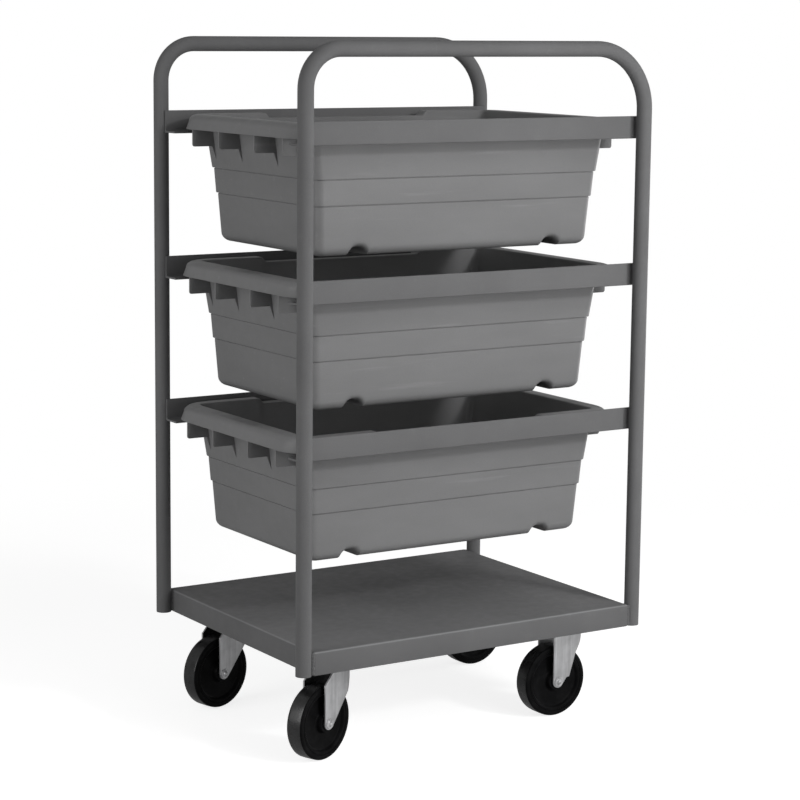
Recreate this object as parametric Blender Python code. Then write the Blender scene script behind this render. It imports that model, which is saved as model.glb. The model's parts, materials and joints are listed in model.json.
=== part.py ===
"""Tub rack cart: two inverted-U tube frames, six angle rails that carry three
slide-out tubs, a flanged deck, two swivel casters and two rigid casters.

Metres, +Z up, origin on the floor under the middle of the cart. X runs along
the rails, with the swivel casters at -X, and the front side faces -Y.
"""

import math

import bmesh
import bpy
from mathutils import Matrix, Vector

# Gap left between pieces that touch
GAP = 0.0003

# Edges that turn more than this stay sharp
SHARP_ANGLE = math.radians(35)

# Tube frames
POST_SPAN_X = 0.668
POST_SPAN_Y = 0.495
TUBE_RADIUS = 0.01335
TUBE_WALL = 0.0021
LEFT_BEND_RADIUS = 0.063
RIGHT_BEND_RADIUS = 0.102
HANDLE_RISE = 0.127
TUBE_SIDES = 16
BEND_STEPS = 6

# Angle rails
RAIL_LEG = 0.0381
RAIL_THICKNESS = 0.0032
RAIL_ROOT = 0.002
TIER_PITCH = 0.252
LOW_RAIL_RISE = 0.347

# Deck pan
DECK_FLANGE = 0.039
DECK_SHEET = 0.0019
DECK_EDGE_RADIUS = 0.0025
DECK_SIDE_INSET = 0.0039
DECK_CORNER_RADIUS = 0.004

# Cross channels under the deck
CHANNEL_WIDTH = 0.125
CHANNEL_SHEET = 0.0027

# Casters
CASTER_HEIGHT = 0.162
SWIVEL_END_INSET = 0.1005
RIGID_END_INSET = 0.0875
CASTER_SIDE_INSET = 0.0705
SWIVEL_TRAIL = 0.041
RIGID_OFFSET = 0.0345
FRONT_SWIVEL_TURN = 0.34
REAR_SWIVEL_TURN = 0.25
PLATE_LENGTH = 0.1143
PLATE_WIDTH = 0.1016
PLATE_THICKNESS = 0.003
PLATE_CORNER_RADIUS = 0.006
BOLT_SPACING_X = 0.092
BOLT_SPACING_Y = 0.0667

# Wheels
WHEEL_RADIUS = 0.0635
TREAD_WIDTH = 0.032
HUB_LENGTH = 0.038
HUB_RADIUS = 0.0165
WEB_THICKNESS = 0.020
RIM_DEPTH = 0.0155
SHOULDER = 0.002
WHEEL_SIDES = 32

# Forks
FORK_SHEET = 0.003
FORK_INSIDE = 0.043
LEG_FOOT_RADIUS = 0.0105
LEG_FOOT_SWEEP = math.radians(140)
CROWN_RADIUS = 0.031
LEG_TOP_LAP = 0.0008
SWIVEL_LEG_REACH = 0.017
SWIVEL_LEG_CHAMFER = 0.020
SWIVEL_WAIST_REACH = 0.0125
SWIVEL_WAIST_DROP = 0.042
RIGID_LEG_REACH = 0.016
RIGID_WAIST_REACH = 0.0045
RIGID_WAIST_DROP = 0.047
SHOULDER_REACH = 0.0245
SHOULDER_RISE = 0.0098
TONGUE_REACH = 0.018
TONGUE_RISE = 0.006

# Swivel bearing
RACE_RADIUS = 0.031
RACE_BORE = 0.012
RACE_SHEET = 0.0025
RACE_SKIRT = 0.002
BALL_RADIUS = 0.0031
BALL_CIRCLE = 0.0235
BALL_COUNT = 12
BALL_PHASE = 0.25
CAGE_WIDTH = 0.0028
CAGE_SHEET = 0.0012
KINGPIN_RADIUS = 0.0055
KINGPIN_COLLAR = 0.010
KINGPIN_TAIL = 0.010

# Axles
AXLE_RADIUS = 0.0048
AXLE_HEAD_RADIUS = 0.0085
AXLE_HEAD_HEIGHT = 0.0045
AXLE_TAIL = 0.011
SLEEVE_RADIUS = 0.008
RUNNING_GAP = 0.0004

# Fasteners
BOLT_RADIUS = 0.0040
BOLT_HEAD_RADIUS = 0.0075
BOLT_HEAD_HEIGHT = 0.0053
BOLT_TAIL = 0.004
NUT_HEIGHT = 0.0068
AXLE_NUT_RADIUS = 0.0085
KINGPIN_NUT_RADIUS = 0.0105
FASTENER_SIDES = 12
ROUND_SIDES = 24

# Tubs
TUB_LENGTH = 0.637
TOP_TUB_SHIFT = 0.007
MIDDLE_TUB_SHIFT = 0.0
BOTTOM_TUB_SHIFT = -0.005
TUB_SIDE_CLEARANCE = 0.008
TUB_BODY_CLEARANCE = 0.006
TUB_END_OVERHANG = 0.033
TUB_HEIGHT = 0.217
TUB_LIP = 0.0296
TUB_WALL = 0.003
TUB_END_DRAFT = 0.04
TUB_SIDE_DRAFT = 0.08
TUB_STEP = 0.0022
TUB_LOW_STEP = 0.083
TUB_HIGH_STEP = 0.126
TUB_BASE_RADIUS = 0.014
TUB_BODY_CORNER = 0.014
TUB_BASE_STEPS = 3
CORNER_STEPS = 4

# Tub rims
RIM_CORNER = 0.040
RIM_ROLL = 0.012
RIM_ROLL_STEPS = 3
RIM_FLARE = 0.004
DIP_DEPTH = 0.009
DIP_HALF_LENGTH = 0.157
DIP_SLOPE = 0.012

# Ribs under the end rims
RIB_OUTER_Y = 0.154
RIB_INNER_Y = 0.0605
RIB_THICKNESS = 0.003
RIB_DROP = 0.031
RIB_LAP = 0.0015

# Heights and half sizes that follow from the sizes above
AXLE_Z = WHEEL_RADIUS * math.cos(math.pi / WHEEL_SIDES)
DECK_BOTTOM = CASTER_HEIGHT + GAP
DECK_TOP = DECK_BOTTOM + DECK_FLANGE
HALF_X = POST_SPAN_X / 2
HALF_Y = POST_SPAN_Y / 2
SWIVEL_X = HALF_X - SWIVEL_END_INSET
RIGID_X = HALF_X - RIGID_END_INSET
CASTER_Y = HALF_Y - CASTER_SIDE_INSET
LOW_RAIL_TOP = DECK_TOP + LOW_RAIL_RISE
RAIL_TOPS = {
    "bottom": LOW_RAIL_TOP,
    "middle": LOW_RAIL_TOP + TIER_PITCH,
    "top": LOW_RAIL_TOP + 2 * TIER_PITCH,
}
TUBE_TOP = RAIL_TOPS["top"] + HANDLE_RISE - TUBE_RADIUS
RAIL_FACE = HALF_Y - TUBE_RADIUS - GAP
PLATE_BOTTOM = CASTER_HEIGHT - PLATE_THICKNESS
RACE_TOP = PLATE_BOTTOM - GAP
BALL_Z = RACE_TOP - RACE_SHEET - GAP - BALL_RADIUS
CROWN_TOP = BALL_Z - BALL_RADIUS - GAP
CROWN_BOTTOM = CROWN_TOP - FORK_SHEET
FORK_OUTSIDE = FORK_INSIDE / 2 + FORK_SHEET
TUB_WIDTH = 2 * (RAIL_FACE - RAIL_THICKNESS - TUB_SIDE_CLEARANCE)
TUB_BODY_HALF_X = TUB_LENGTH / 2 - TUB_END_OVERHANG
TUB_BODY_HALF_Y = RAIL_FACE - RAIL_LEG - TUB_BODY_CLEARANCE


def clear_scene():
    for old in list(bpy.data.objects):
        bpy.data.objects.remove(old, do_unlink=True)


def make_material(name, colour, roughness, metallic):
    material = bpy.data.materials.new(name)
    material.use_nodes = True
    shader = material.node_tree.nodes["Principled BSDF"]
    shader.inputs["Base Color"].default_value = (*colour, 1.0)
    shader.inputs["Roughness"].default_value = roughness
    shader.inputs["Metallic"].default_value = metallic
    material.diffuse_color = (*colour, 1.0)
    return material


def make_object(name, bm, material, location=(0, 0, 0), rotation=(0, 0, 0), parent=None):
    """Turns the mesh being built into a named object."""
    bmesh.ops.recalc_face_normals(bm, faces=bm.faces)
    mesh = bpy.data.meshes.new(name)
    bm.to_mesh(mesh)
    bm.free()
    mesh.shade_smooth()
    mesh.set_sharp_from_angle(angle=SHARP_ANGLE)
    mesh.materials.append(material)
    thing = bpy.data.objects.new(name, mesh)
    bpy.context.collection.objects.link(thing)
    thing.location = location
    thing.rotation_euler = rotation
    thing.parent = parent
    return thing


def make_empty(name, location, turn=0.0):
    empty = bpy.data.objects.new(name, None)
    empty.location = location
    empty.rotation_euler = (0, 0, turn)
    bpy.context.collection.objects.link(empty)
    return empty


def make_cutter(name, bm, parent=None, location=(0, 0, 0)):
    """A hidden shape that a Boolean modifier uses."""
    bmesh.ops.recalc_face_normals(bm, faces=bm.faces)
    mesh = bpy.data.meshes.new(name)
    bm.to_mesh(mesh)
    bm.free()
    cutter = bpy.data.objects.new(name, mesh)
    bpy.context.collection.objects.link(cutter)
    cutter.location = location
    cutter.parent = parent
    cutter.hide_render = True
    cutter.display_type = "WIRE"
    return cutter


def apply_boolean(target, cutter, operation):
    modifier = target.modifiers.new(operation.lower(), "BOOLEAN")
    modifier.operation = operation
    modifier.object = cutter
    modifier.solver = "EXACT"


def loft(bm, loops, closed=False):
    """Joins loops of as many points each; closed joins the last to the first."""
    rings = [[bm.verts.new(point) for point in loop] for loop in loops]
    pairs = list(zip(rings, rings[1:]))
    if closed:
        pairs.append((rings[-1], rings[0]))
    else:
        bm.faces.new(rings[0])
        bm.faces.new(rings[-1])
    for low, high in pairs:
        for index in range(len(low)):
            after = (index + 1) % len(low)
            bm.faces.new((low[index], low[after], high[after], high[index]))


def circle(radius, z, sides, centre=(0.0, 0.0), half_turn=False):
    """A level ring of points; half_turn puts a flat side at the bottom."""
    shift = math.pi / sides if half_turn else 0.0
    points = []
    for index in range(sides):
        angle = 2 * math.pi * index / sides + shift
        points.append(
            Vector((centre[0] + radius * math.cos(angle), centre[1] + radius * math.sin(angle), z))
        )
    return points


def hexagon(radius, z, centre=(0.0, 0.0)):
    """A hexagon with a point at each corner and at the middle of each side."""
    points = []
    for index in range(FASTENER_SIDES):
        angle = 2 * math.pi * index / FASTENER_SIDES
        reach = radius if index % 2 == 0 else radius * math.cos(math.pi / 6)
        points.append(
            Vector((centre[0] + reach * math.cos(angle), centre[1] + reach * math.sin(angle), z))
        )
    return points


def rounded_rectangle(half_x, half_y, radius, z):
    points = []
    corners = ((1, 1, 0), (-1, 1, 1), (-1, -1, 2), (1, -1, 3))
    for sign_x, sign_y, quarter in corners:
        for step in range(CORNER_STEPS + 1):
            angle = math.pi / 2 * (quarter + step / CORNER_STEPS)
            x = sign_x * (half_x - radius) + radius * math.cos(angle)
            y = sign_y * (half_y - radius) + radius * math.sin(angle)
            points.append(Vector((x, y, z)))
    return points


def turned(bm, profile, sides, half_turn=False):
    """A ring turned about Z from a closed profile of (radius, height) points."""
    loft(bm, [circle(r, z, sides, half_turn=half_turn) for r, z in profile], closed=True)


def plate_bolt_places():
    """The four bolt holes of a caster plate, about its middle."""
    half_x = BOLT_SPACING_X / 2
    half_y = BOLT_SPACING_Y / 2
    return [(x, y) for x in (-half_x, half_x) for y in (-half_y, half_y)]


def build_u_frame(name, y, material):
    """An inverted U of bent tube, open at both feet."""
    stations = [(-HALF_X, DECK_BOTTOM, 0.0)]
    bends = ((-1, LEFT_BEND_RADIUS, 0.0), (1, RIGHT_BEND_RADIUS, math.pi / 2))
    for side, bend, start in bends:
        for step in range(BEND_STEPS + 1):
            turn = start + math.pi / 2 * step / BEND_STEPS
            x = side * (HALF_X - bend) - bend * math.cos(turn)
            z = TUBE_TOP - bend + bend * math.sin(turn)
            stations.append((x, z, turn))
    stations.append((HALF_X, DECK_BOTTOM, math.pi))

    def rings(radius):
        result = []
        for x, z, turn in stations:
            outward = Vector((-math.cos(turn), 0, math.sin(turn)))
            ring = []
            for index in range(TUBE_SIDES):
                angle = 2 * math.pi * (index + 0.5) / TUBE_SIDES
                offset = outward * (radius * math.cos(angle))
                ring.append(Vector((x, radius * math.sin(angle), z)) + offset)
            result.append(ring)
        return result

    bm = bmesh.new()
    loft(bm, rings(TUBE_RADIUS) + rings(TUBE_RADIUS - TUBE_WALL)[::-1], closed=True)
    return make_object(name, bm, material, location=(0, y, 0))


def build_rail(name, side, top, material):
    """An angle iron inside the posts: upright leg outwards, level leg inwards."""
    bottom = -RAIL_LEG
    outline = [
        (0.0, 0.0),
        (0.0, bottom),
        (RAIL_LEG, bottom),
        (RAIL_LEG, bottom + RAIL_THICKNESS),
        (RAIL_THICKNESS + RAIL_ROOT, bottom + RAIL_THICKNESS),
        (RAIL_THICKNESS, bottom + RAIL_THICKNESS + RAIL_ROOT),
        (RAIL_THICKNESS, 0.0),
    ]
    loops = []
    for x in (-HALF_X, HALF_X):
        loops.append([Vector((x, -side * inward, z)) for inward, z in outline])
    bm = bmesh.new()
    loft(bm, loops)
    return make_object(name, bm, material, location=(0, side * RAIL_FACE, top))


def build_deck(material):
    """A sheet pan with all four edges turned down."""
    half_x = HALF_X - TUBE_RADIUS - GAP
    half_y = HALF_Y + TUBE_RADIUS - DECK_SIDE_INSET
    inner_x = half_x - DECK_SHEET
    inner_y = half_y - DECK_SHEET
    edge = DECK_EDGE_RADIUS
    corner = DECK_CORNER_RADIUS
    inner_corner = corner - DECK_SHEET
    ceiling = DECK_TOP - DECK_SHEET
    loops = [
        rounded_rectangle(inner_x, inner_y, inner_corner, ceiling),
        rounded_rectangle(inner_x, inner_y, inner_corner, DECK_BOTTOM),
        rounded_rectangle(half_x, half_y, corner, DECK_BOTTOM),
    ]
    for step in range(CORNER_STEPS + 1):
        angle = math.pi / 2 * step / CORNER_STEPS
        inset = edge * (1 - math.cos(angle))
        z = DECK_TOP - edge + edge * math.sin(angle)
        loops.append(rounded_rectangle(half_x - inset, half_y - inset, corner, z))
    bm = bmesh.new()
    loft(bm, loops)
    return make_object("base_deck", bm, material)


def build_channel(name, x, material):
    """A U channel across the deck's underside, open upwards, for two casters."""
    top = DECK_TOP - DECK_SHEET - GAP
    half_width = CHANNEL_WIDTH / 2
    inner = half_width - CHANNEL_SHEET
    floor = DECK_BOTTOM + CHANNEL_SHEET
    outline = [
        (-half_width, top),
        (-half_width, DECK_BOTTOM),
        (half_width, DECK_BOTTOM),
        (half_width, top),
        (inner, top),
        (inner, floor),
        (-inner, floor),
        (-inner, top),
    ]
    reach = HALF_Y + TUBE_RADIUS - DECK_SIDE_INSET - DECK_SHEET - GAP
    bm = bmesh.new()
    loft(bm, [[Vector((across, y, z)) for across, z in outline] for y in (-reach, reach)])
    channel = make_object(name, bm, material, location=(x, 0, 0))

    holes = bmesh.new()
    for caster_y in (-CASTER_Y, CASTER_Y):
        for hole_x, hole_y in plate_bolt_places():
            centre = (hole_x, caster_y + hole_y)
            low = DECK_BOTTOM - CHANNEL_SHEET
            high = floor + CHANNEL_SHEET
            radius = BOLT_RADIUS + RUNNING_GAP
            loft(holes, [circle(radius, z, FASTENER_SIDES, centre) for z in (low, high)])
    cutter = make_cutter(name + "_holes", holes, location=(x, 0, 0))
    apply_boolean(channel, cutter, "DIFFERENCE")
    return channel


def build_plate_bolts(kind, side_name, x, y, material):
    """Hex bolts up through a caster plate and the channel, each with its nut run on."""
    head_top = PLATE_BOTTOM - GAP
    nut_bottom = DECK_BOTTOM + CHANNEL_SHEET + GAP
    nut_top = nut_bottom + NUT_HEIGHT
    sides = FASTENER_SIDES
    for number, (bolt_x, bolt_y) in enumerate(plate_bolt_places(), start=1):
        bm = bmesh.new()
        loops = [
            hexagon(BOLT_HEAD_RADIUS, head_top - BOLT_HEAD_HEIGHT),
            hexagon(BOLT_HEAD_RADIUS, head_top),
            circle(BOLT_RADIUS, head_top, sides),
            circle(BOLT_RADIUS, nut_bottom, sides),
            hexagon(BOLT_HEAD_RADIUS, nut_bottom),
            hexagon(BOLT_HEAD_RADIUS, nut_top),
            circle(BOLT_RADIUS, nut_top, sides),
            circle(BOLT_RADIUS, nut_top + BOLT_TAIL, sides),
        ]
        loft(bm, loops)
        place = (x + bolt_x, y + bolt_y, 0)
        make_object(f"{kind}_bolt_{side_name}_{number}", bm, material, place)


def build_nut(name, low, outer, bore, material, **placing):
    """A hex nut that stands on the level low."""
    high = low + NUT_HEIGHT
    bm = bmesh.new()
    loops = [
        hexagon(outer, low),
        hexagon(outer, high),
        circle(bore, high, FASTENER_SIDES),
        circle(bore, low, FASTENER_SIDES),
    ]
    loft(bm, loops, closed=True)
    return make_object(name, bm, material, **placing)


def build_wheel(name, material, parent, location):
    """A moulded wheel with a crowned tread, a dished web and a long hub."""
    bore = SLEEVE_RADIUS + RUNNING_GAP
    half_tread = TREAD_WIDTH / 2
    half_hub = HUB_LENGTH / 2
    half_web = WEB_THICKNESS / 2
    rim_inner = WHEEL_RADIUS - RIM_DEPTH
    side = [
        (bore, half_hub),
        (HUB_RADIUS, half_hub),
        (HUB_RADIUS + SHOULDER, half_web),
        (rim_inner - SHOULDER, half_web),
        (rim_inner, half_tread - SHOULDER / 2),
        (WHEEL_RADIUS - SHOULDER * 2, half_tread),
        (WHEEL_RADIUS - SHOULDER / 2, half_tread - SHOULDER / 2),
        (WHEEL_RADIUS, half_tread - SHOULDER),
    ]
    profile = side + [(r, -z) for r, z in reversed(side)]
    bm = bmesh.new()
    turned(bm, profile, WHEEL_SIDES, half_turn=True)
    bmesh.ops.rotate(bm, matrix=Matrix.Rotation(math.pi / 2, 3, "X"), verts=bm.verts)
    return make_object(name, bm, material, location=location, parent=parent)


def build_axle(prefix, side_name, x, parent, materials):
    """The axle bolt, its nut and the sleeve that the wheel turns on."""
    lying = (math.pi / 2, 0, 0)
    place = (x, 0, AXLE_Z)
    head_face = FORK_OUTSIDE + GAP
    bm = bmesh.new()
    loops = [
        circle(AXLE_HEAD_RADIUS - SHOULDER / 2, head_face + AXLE_HEAD_HEIGHT, FASTENER_SIDES),
        circle(AXLE_HEAD_RADIUS, head_face + AXLE_HEAD_HEIGHT - SHOULDER / 2, FASTENER_SIDES),
        circle(AXLE_HEAD_RADIUS, head_face, FASTENER_SIDES),
        circle(AXLE_RADIUS, head_face, FASTENER_SIDES),
        circle(AXLE_RADIUS, -FORK_OUTSIDE - AXLE_TAIL, FASTENER_SIDES),
    ]
    loft(bm, loops)
    make_object(f"{prefix}_axle_{side_name}", bm, materials["zinc"], place, lying, parent)
    build_nut(
        f"{prefix}_axle_nut_{side_name}",
        -FORK_OUTSIDE - GAP - NUT_HEIGHT,
        AXLE_NUT_RADIUS,
        AXLE_RADIUS + RUNNING_GAP,
        materials["zinc"],
        location=place,
        rotation=lying,
        parent=parent,
    )
    half = FORK_INSIDE / 2 - GAP
    inner = AXLE_RADIUS + RUNNING_GAP
    sleeve = bmesh.new()
    profile = [(SLEEVE_RADIUS, -half), (SLEEVE_RADIUS, half), (inner, half), (inner, -half)]
    turned(sleeve, profile, ROUND_SIDES)
    make_object(
        f"{prefix}_axle_sleeve_{side_name}", sleeve, materials["steel"], place, lying, parent
    )


def leg_outline(axle_x, left_top, top, reach, waist_reach, waist_drop, shoulder=False):
    """A fork leg seen from its side: upright left edge, round foot, waisted right edge."""
    foot = LEG_FOOT_RADIUS
    points = [(axle_x - foot, left_top)]
    for step in range(CORNER_STEPS * 2 + 1):
        angle = math.pi + LEG_FOOT_SWEEP * step / (CORNER_STEPS * 2)
        points.append((axle_x + foot * math.cos(angle), AXLE_Z + foot * math.sin(angle)))
    if shoulder:
        points.append((axle_x + TONGUE_REACH, AXLE_Z + TONGUE_RISE))
        points.append((axle_x + SHOULDER_REACH, AXLE_Z + SHOULDER_RISE))
    points.append((waist_reach, top - waist_drop))
    points.append((reach, top - waist_drop / 2))
    points.append((reach, top))
    return points


def add_legs(bm, outline):
    """The two legs of a fork, one each side of its wheel."""
    for side in (-1, 1):
        inner = side * FORK_INSIDE / 2
        outer = side * FORK_OUTSIDE
        loft(bm, [[Vector((x, y, z)) for x, z in outline] for y in (inner, outer)])


def add_axle_hole(bm, x):
    """A bar through both legs, for cutting the axle holes."""
    radius = AXLE_RADIUS + RUNNING_GAP
    reach = FORK_OUTSIDE + FORK_SHEET
    loops = []
    for y in (-reach, reach):
        ring = circle(radius, 0.0, FASTENER_SIDES)
        loops.append([Vector((x + point.x, y, AXLE_Z + point.y)) for point in ring])
    loft(bm, loops)


def add_upright_hole(bm, radius, low, high):
    loft(bm, [circle(radius, z, ROUND_SIDES) for z in (low, high)])


def build_caster_plate(name, mount, material, with_kingpin):
    """A flat mounting plate with its bolt holes."""
    half_x = PLATE_LENGTH / 2
    half_y = PLATE_WIDTH / 2
    bm = bmesh.new()
    levels = (PLATE_BOTTOM, CASTER_HEIGHT)
    loft(bm, [rounded_rectangle(half_x, half_y, PLATE_CORNER_RADIUS, z) for z in levels])
    plate = make_object(name, bm, material, parent=mount)
    low = PLATE_BOTTOM - PLATE_THICKNESS
    high = CASTER_HEIGHT + PLATE_THICKNESS
    radius = BOLT_RADIUS + RUNNING_GAP
    holes = bmesh.new()
    for centre in plate_bolt_places():
        loft(holes, [circle(radius, z, FASTENER_SIDES, centre) for z in (low, high)])
    if with_kingpin:
        add_upright_hole(holes, KINGPIN_RADIUS + RUNNING_GAP, low, high)
    apply_boolean(plate, make_cutter(name + "_holes", holes, mount), "DIFFERENCE")
    return plate


def build_swivel_bearing(side_name, location, swivel, materials):
    """The race cup, the balls, the kingpin and its nut."""
    race_bottom = RACE_TOP - RACE_SHEET
    skirt_bottom = CROWN_TOP + GAP
    cup = bmesh.new()
    profile = [
        (RACE_BORE, RACE_TOP),
        (RACE_RADIUS, RACE_TOP),
        (RACE_RADIUS, skirt_bottom),
        (RACE_RADIUS - RACE_SKIRT, skirt_bottom),
        (RACE_RADIUS - RACE_SKIRT, race_bottom),
        (RACE_BORE, race_bottom),
    ]
    turned(cup, profile, ROUND_SIDES)
    make_object(f"swivel_race_{side_name}", cup, materials["zinc"], location)

    sides = ROUND_SIDES
    inner = BALL_CIRCLE - CAGE_WIDTH / 2
    outer = BALL_CIRCLE + CAGE_WIDTH / 2
    low = BALL_Z - CAGE_SHEET / 2
    high = BALL_Z + CAGE_SHEET / 2
    cage = bmesh.new()
    turned(cage, [(inner, low), (outer, low), (outer, high), (inner, high)], sides)
    ring = make_object(f"swivel_ball_ring_{side_name}", cage, materials["steel"], parent=swivel)
    balls = bmesh.new()
    for index in range(BALL_COUNT):
        angle = 2 * math.pi * (index + BALL_PHASE) / BALL_COUNT
        x = BALL_CIRCLE * math.cos(angle)
        y = BALL_CIRCLE * math.sin(angle)
        centre = Matrix.Translation((x, y, BALL_Z))
        bmesh.ops.create_icosphere(balls, subdivisions=1, radius=BALL_RADIUS, matrix=centre)
    apply_boolean(ring, make_cutter(f"swivel_balls_{side_name}", balls, swivel), "UNION")

    pin = bmesh.new()
    loops = [
        circle(KINGPIN_RADIUS, CASTER_HEIGHT - GAP, sides),
        circle(KINGPIN_RADIUS, RACE_TOP, sides),
        circle(KINGPIN_COLLAR, RACE_TOP, sides),
        circle(KINGPIN_COLLAR, CROWN_TOP + GAP, sides),
        circle(KINGPIN_RADIUS, CROWN_TOP + GAP, sides),
        circle(KINGPIN_RADIUS, CROWN_BOTTOM - KINGPIN_TAIL, sides),
    ]
    loft(pin, loops)
    make_object(f"swivel_kingpin_{side_name}", pin, materials["zinc"], location)
    build_nut(
        f"swivel_kingpin_nut_{side_name}",
        CROWN_BOTTOM - GAP - NUT_HEIGHT,
        KINGPIN_NUT_RADIUS,
        KINGPIN_RADIUS + RUNNING_GAP,
        materials["zinc"],
        location=location,
    )


def build_swivel_fork(side_name, swivel, material):
    """A round crown with a leg down each side of the wheel."""
    sides = ROUND_SIDES
    crown = bmesh.new()
    loft(crown, [circle(CROWN_RADIUS, z, sides) for z in (CROWN_BOTTOM, CROWN_TOP)])
    fork = make_object(f"swivel_fork_{side_name}", crown, material, parent=swivel)

    leg_top = CROWN_TOP - LEG_TOP_LAP
    left_top = leg_top - SWIVEL_LEG_CHAMFER
    outline = leg_outline(
        -SWIVEL_TRAIL, left_top, leg_top, SWIVEL_LEG_REACH, SWIVEL_WAIST_REACH, SWIVEL_WAIST_DROP
    )
    outline.append((-SWIVEL_TRAIL - LEG_FOOT_RADIUS + SWIVEL_LEG_CHAMFER, leg_top))
    legs = bmesh.new()
    add_legs(legs, outline)
    apply_boolean(fork, make_cutter(f"swivel_legs_{side_name}", legs, swivel), "UNION")

    holes = bmesh.new()
    add_axle_hole(holes, -SWIVEL_TRAIL)
    low = CROWN_BOTTOM - FORK_SHEET
    add_upright_hole(holes, KINGPIN_RADIUS + RUNNING_GAP, low, CROWN_TOP + FORK_SHEET)
    cutter = make_cutter(f"swivel_fork_holes_{side_name}", holes, swivel)
    apply_boolean(fork, cutter, "DIFFERENCE")


def build_rigid_fork(side_name, mount, material):
    """A mounting plate with a leg down each side of the wheel."""
    fork = build_caster_plate(f"rigid_fork_{side_name}", mount, material, False)
    leg_top = PLATE_BOTTOM + LEG_TOP_LAP
    outline = leg_outline(
        -RIGID_OFFSET, leg_top, leg_top, RIGID_LEG_REACH, RIGID_WAIST_REACH, RIGID_WAIST_DROP, True
    )
    legs = bmesh.new()
    add_legs(legs, outline)
    apply_boolean(fork, make_cutter(f"rigid_legs_{side_name}", legs, mount), "UNION")
    hole = bmesh.new()
    add_axle_hole(hole, -RIGID_OFFSET)
    cutter = make_cutter(f"rigid_axle_hole_{side_name}", hole, mount)
    apply_boolean(fork, cutter, "DIFFERENCE")


def build_swivel_caster(side_name, y, turn, materials):
    place = (-SWIVEL_X, y, 0)
    mount = make_empty(f"swivel_mount_{side_name}", place)
    swivel = make_empty(f"swivel_axis_{side_name}", place, turn)
    build_caster_plate(f"swivel_plate_{side_name}", mount, materials["zinc"], True)
    build_swivel_bearing(side_name, place, swivel, materials)
    build_swivel_fork(side_name, swivel, materials["zinc"])
    build_axle("swivel", side_name, -SWIVEL_TRAIL, swivel, materials)
    wheel_place = (-SWIVEL_TRAIL, 0, AXLE_Z)
    build_wheel(f"swivel_wheel_{side_name}", materials["rubber"], swivel, wheel_place)
    build_plate_bolts("swivel", side_name, -SWIVEL_X, y, materials["zinc"])


def build_rigid_caster(side_name, y, turn, materials):
    """A rigid caster; turn is 0 or half a turn, so its wheel sits to -X or +X."""
    mount = make_empty(f"rigid_mount_{side_name}", (RIGID_X, y, 0), turn)
    build_rigid_fork(side_name, mount, materials["zinc"])
    build_axle("rigid", side_name, -RIGID_OFFSET, mount, materials)
    wheel_place = (-RIGID_OFFSET, 0, AXLE_Z)
    build_wheel(f"rigid_wheel_{side_name}", materials["rubber"], mount, wheel_place)
    build_plate_bolts("rigid", side_name, RIGID_X, y, materials["zinc"])


def tub_ring(half_x, half_y, corner, z, dip=0.0):
    """A rounded rectangle whose long sides are lowered by dip about their middle."""
    ring = rounded_rectangle(half_x, half_y, corner, z)
    low_end = DIP_HALF_LENGTH
    high_end = DIP_HALF_LENGTH + DIP_SLOPE
    stations = ((high_end, 0.0), (low_end, dip), (-low_end, dip), (-high_end, 0.0))
    far_side = [Vector((x, half_y, z - drop)) for x, drop in stations]
    near_side = [Vector((-x, -half_y, z - drop)) for x, drop in stations]
    quarter = CORNER_STEPS + 1
    return ring[:quarter] + far_side + ring[quarter:3 * quarter] + near_side + ring[3 * quarter:]


def tub_wall_x(depth):
    """The outer face of a tub's end wall, at a depth below the underside of its rim."""
    return TUB_BODY_HALF_X - TUB_END_DRAFT * depth


def add_rib(bm, end, y):
    """A plate that braces the end rim against the wall; end is -1 or 1."""
    web = TUB_HEIGHT - TUB_WALL
    lip_bottom = TUB_HEIGHT - TUB_LIP
    low = lip_bottom - RIB_DROP
    outer = TUB_LENGTH / 2 - RIB_LAP
    roll_x = TUB_LENGTH / 2 - RIM_FLARE - RIM_ROLL
    roll_z = TUB_HEIGHT - RIM_ROLL
    outline = [(tub_wall_x(web - low) - RIB_LAP, low), (outer, low), (outer, lip_bottom)]
    for step in range(RIM_ROLL_STEPS + 1):
        angle = math.pi / 2 * step / RIM_ROLL_STEPS
        reach = RIM_ROLL - RIB_LAP
        outline.append((roll_x + reach * math.cos(angle), roll_z + reach * math.sin(angle)))
    outline.append((tub_wall_x(0.0) - RIB_LAP, web + RIB_LAP))
    sides = (y - RIB_THICKNESS / 2, y + RIB_THICKNESS / 2)
    loft(bm, [[Vector((end * x, side, z)) for x, z in outline] for side in sides])


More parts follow.
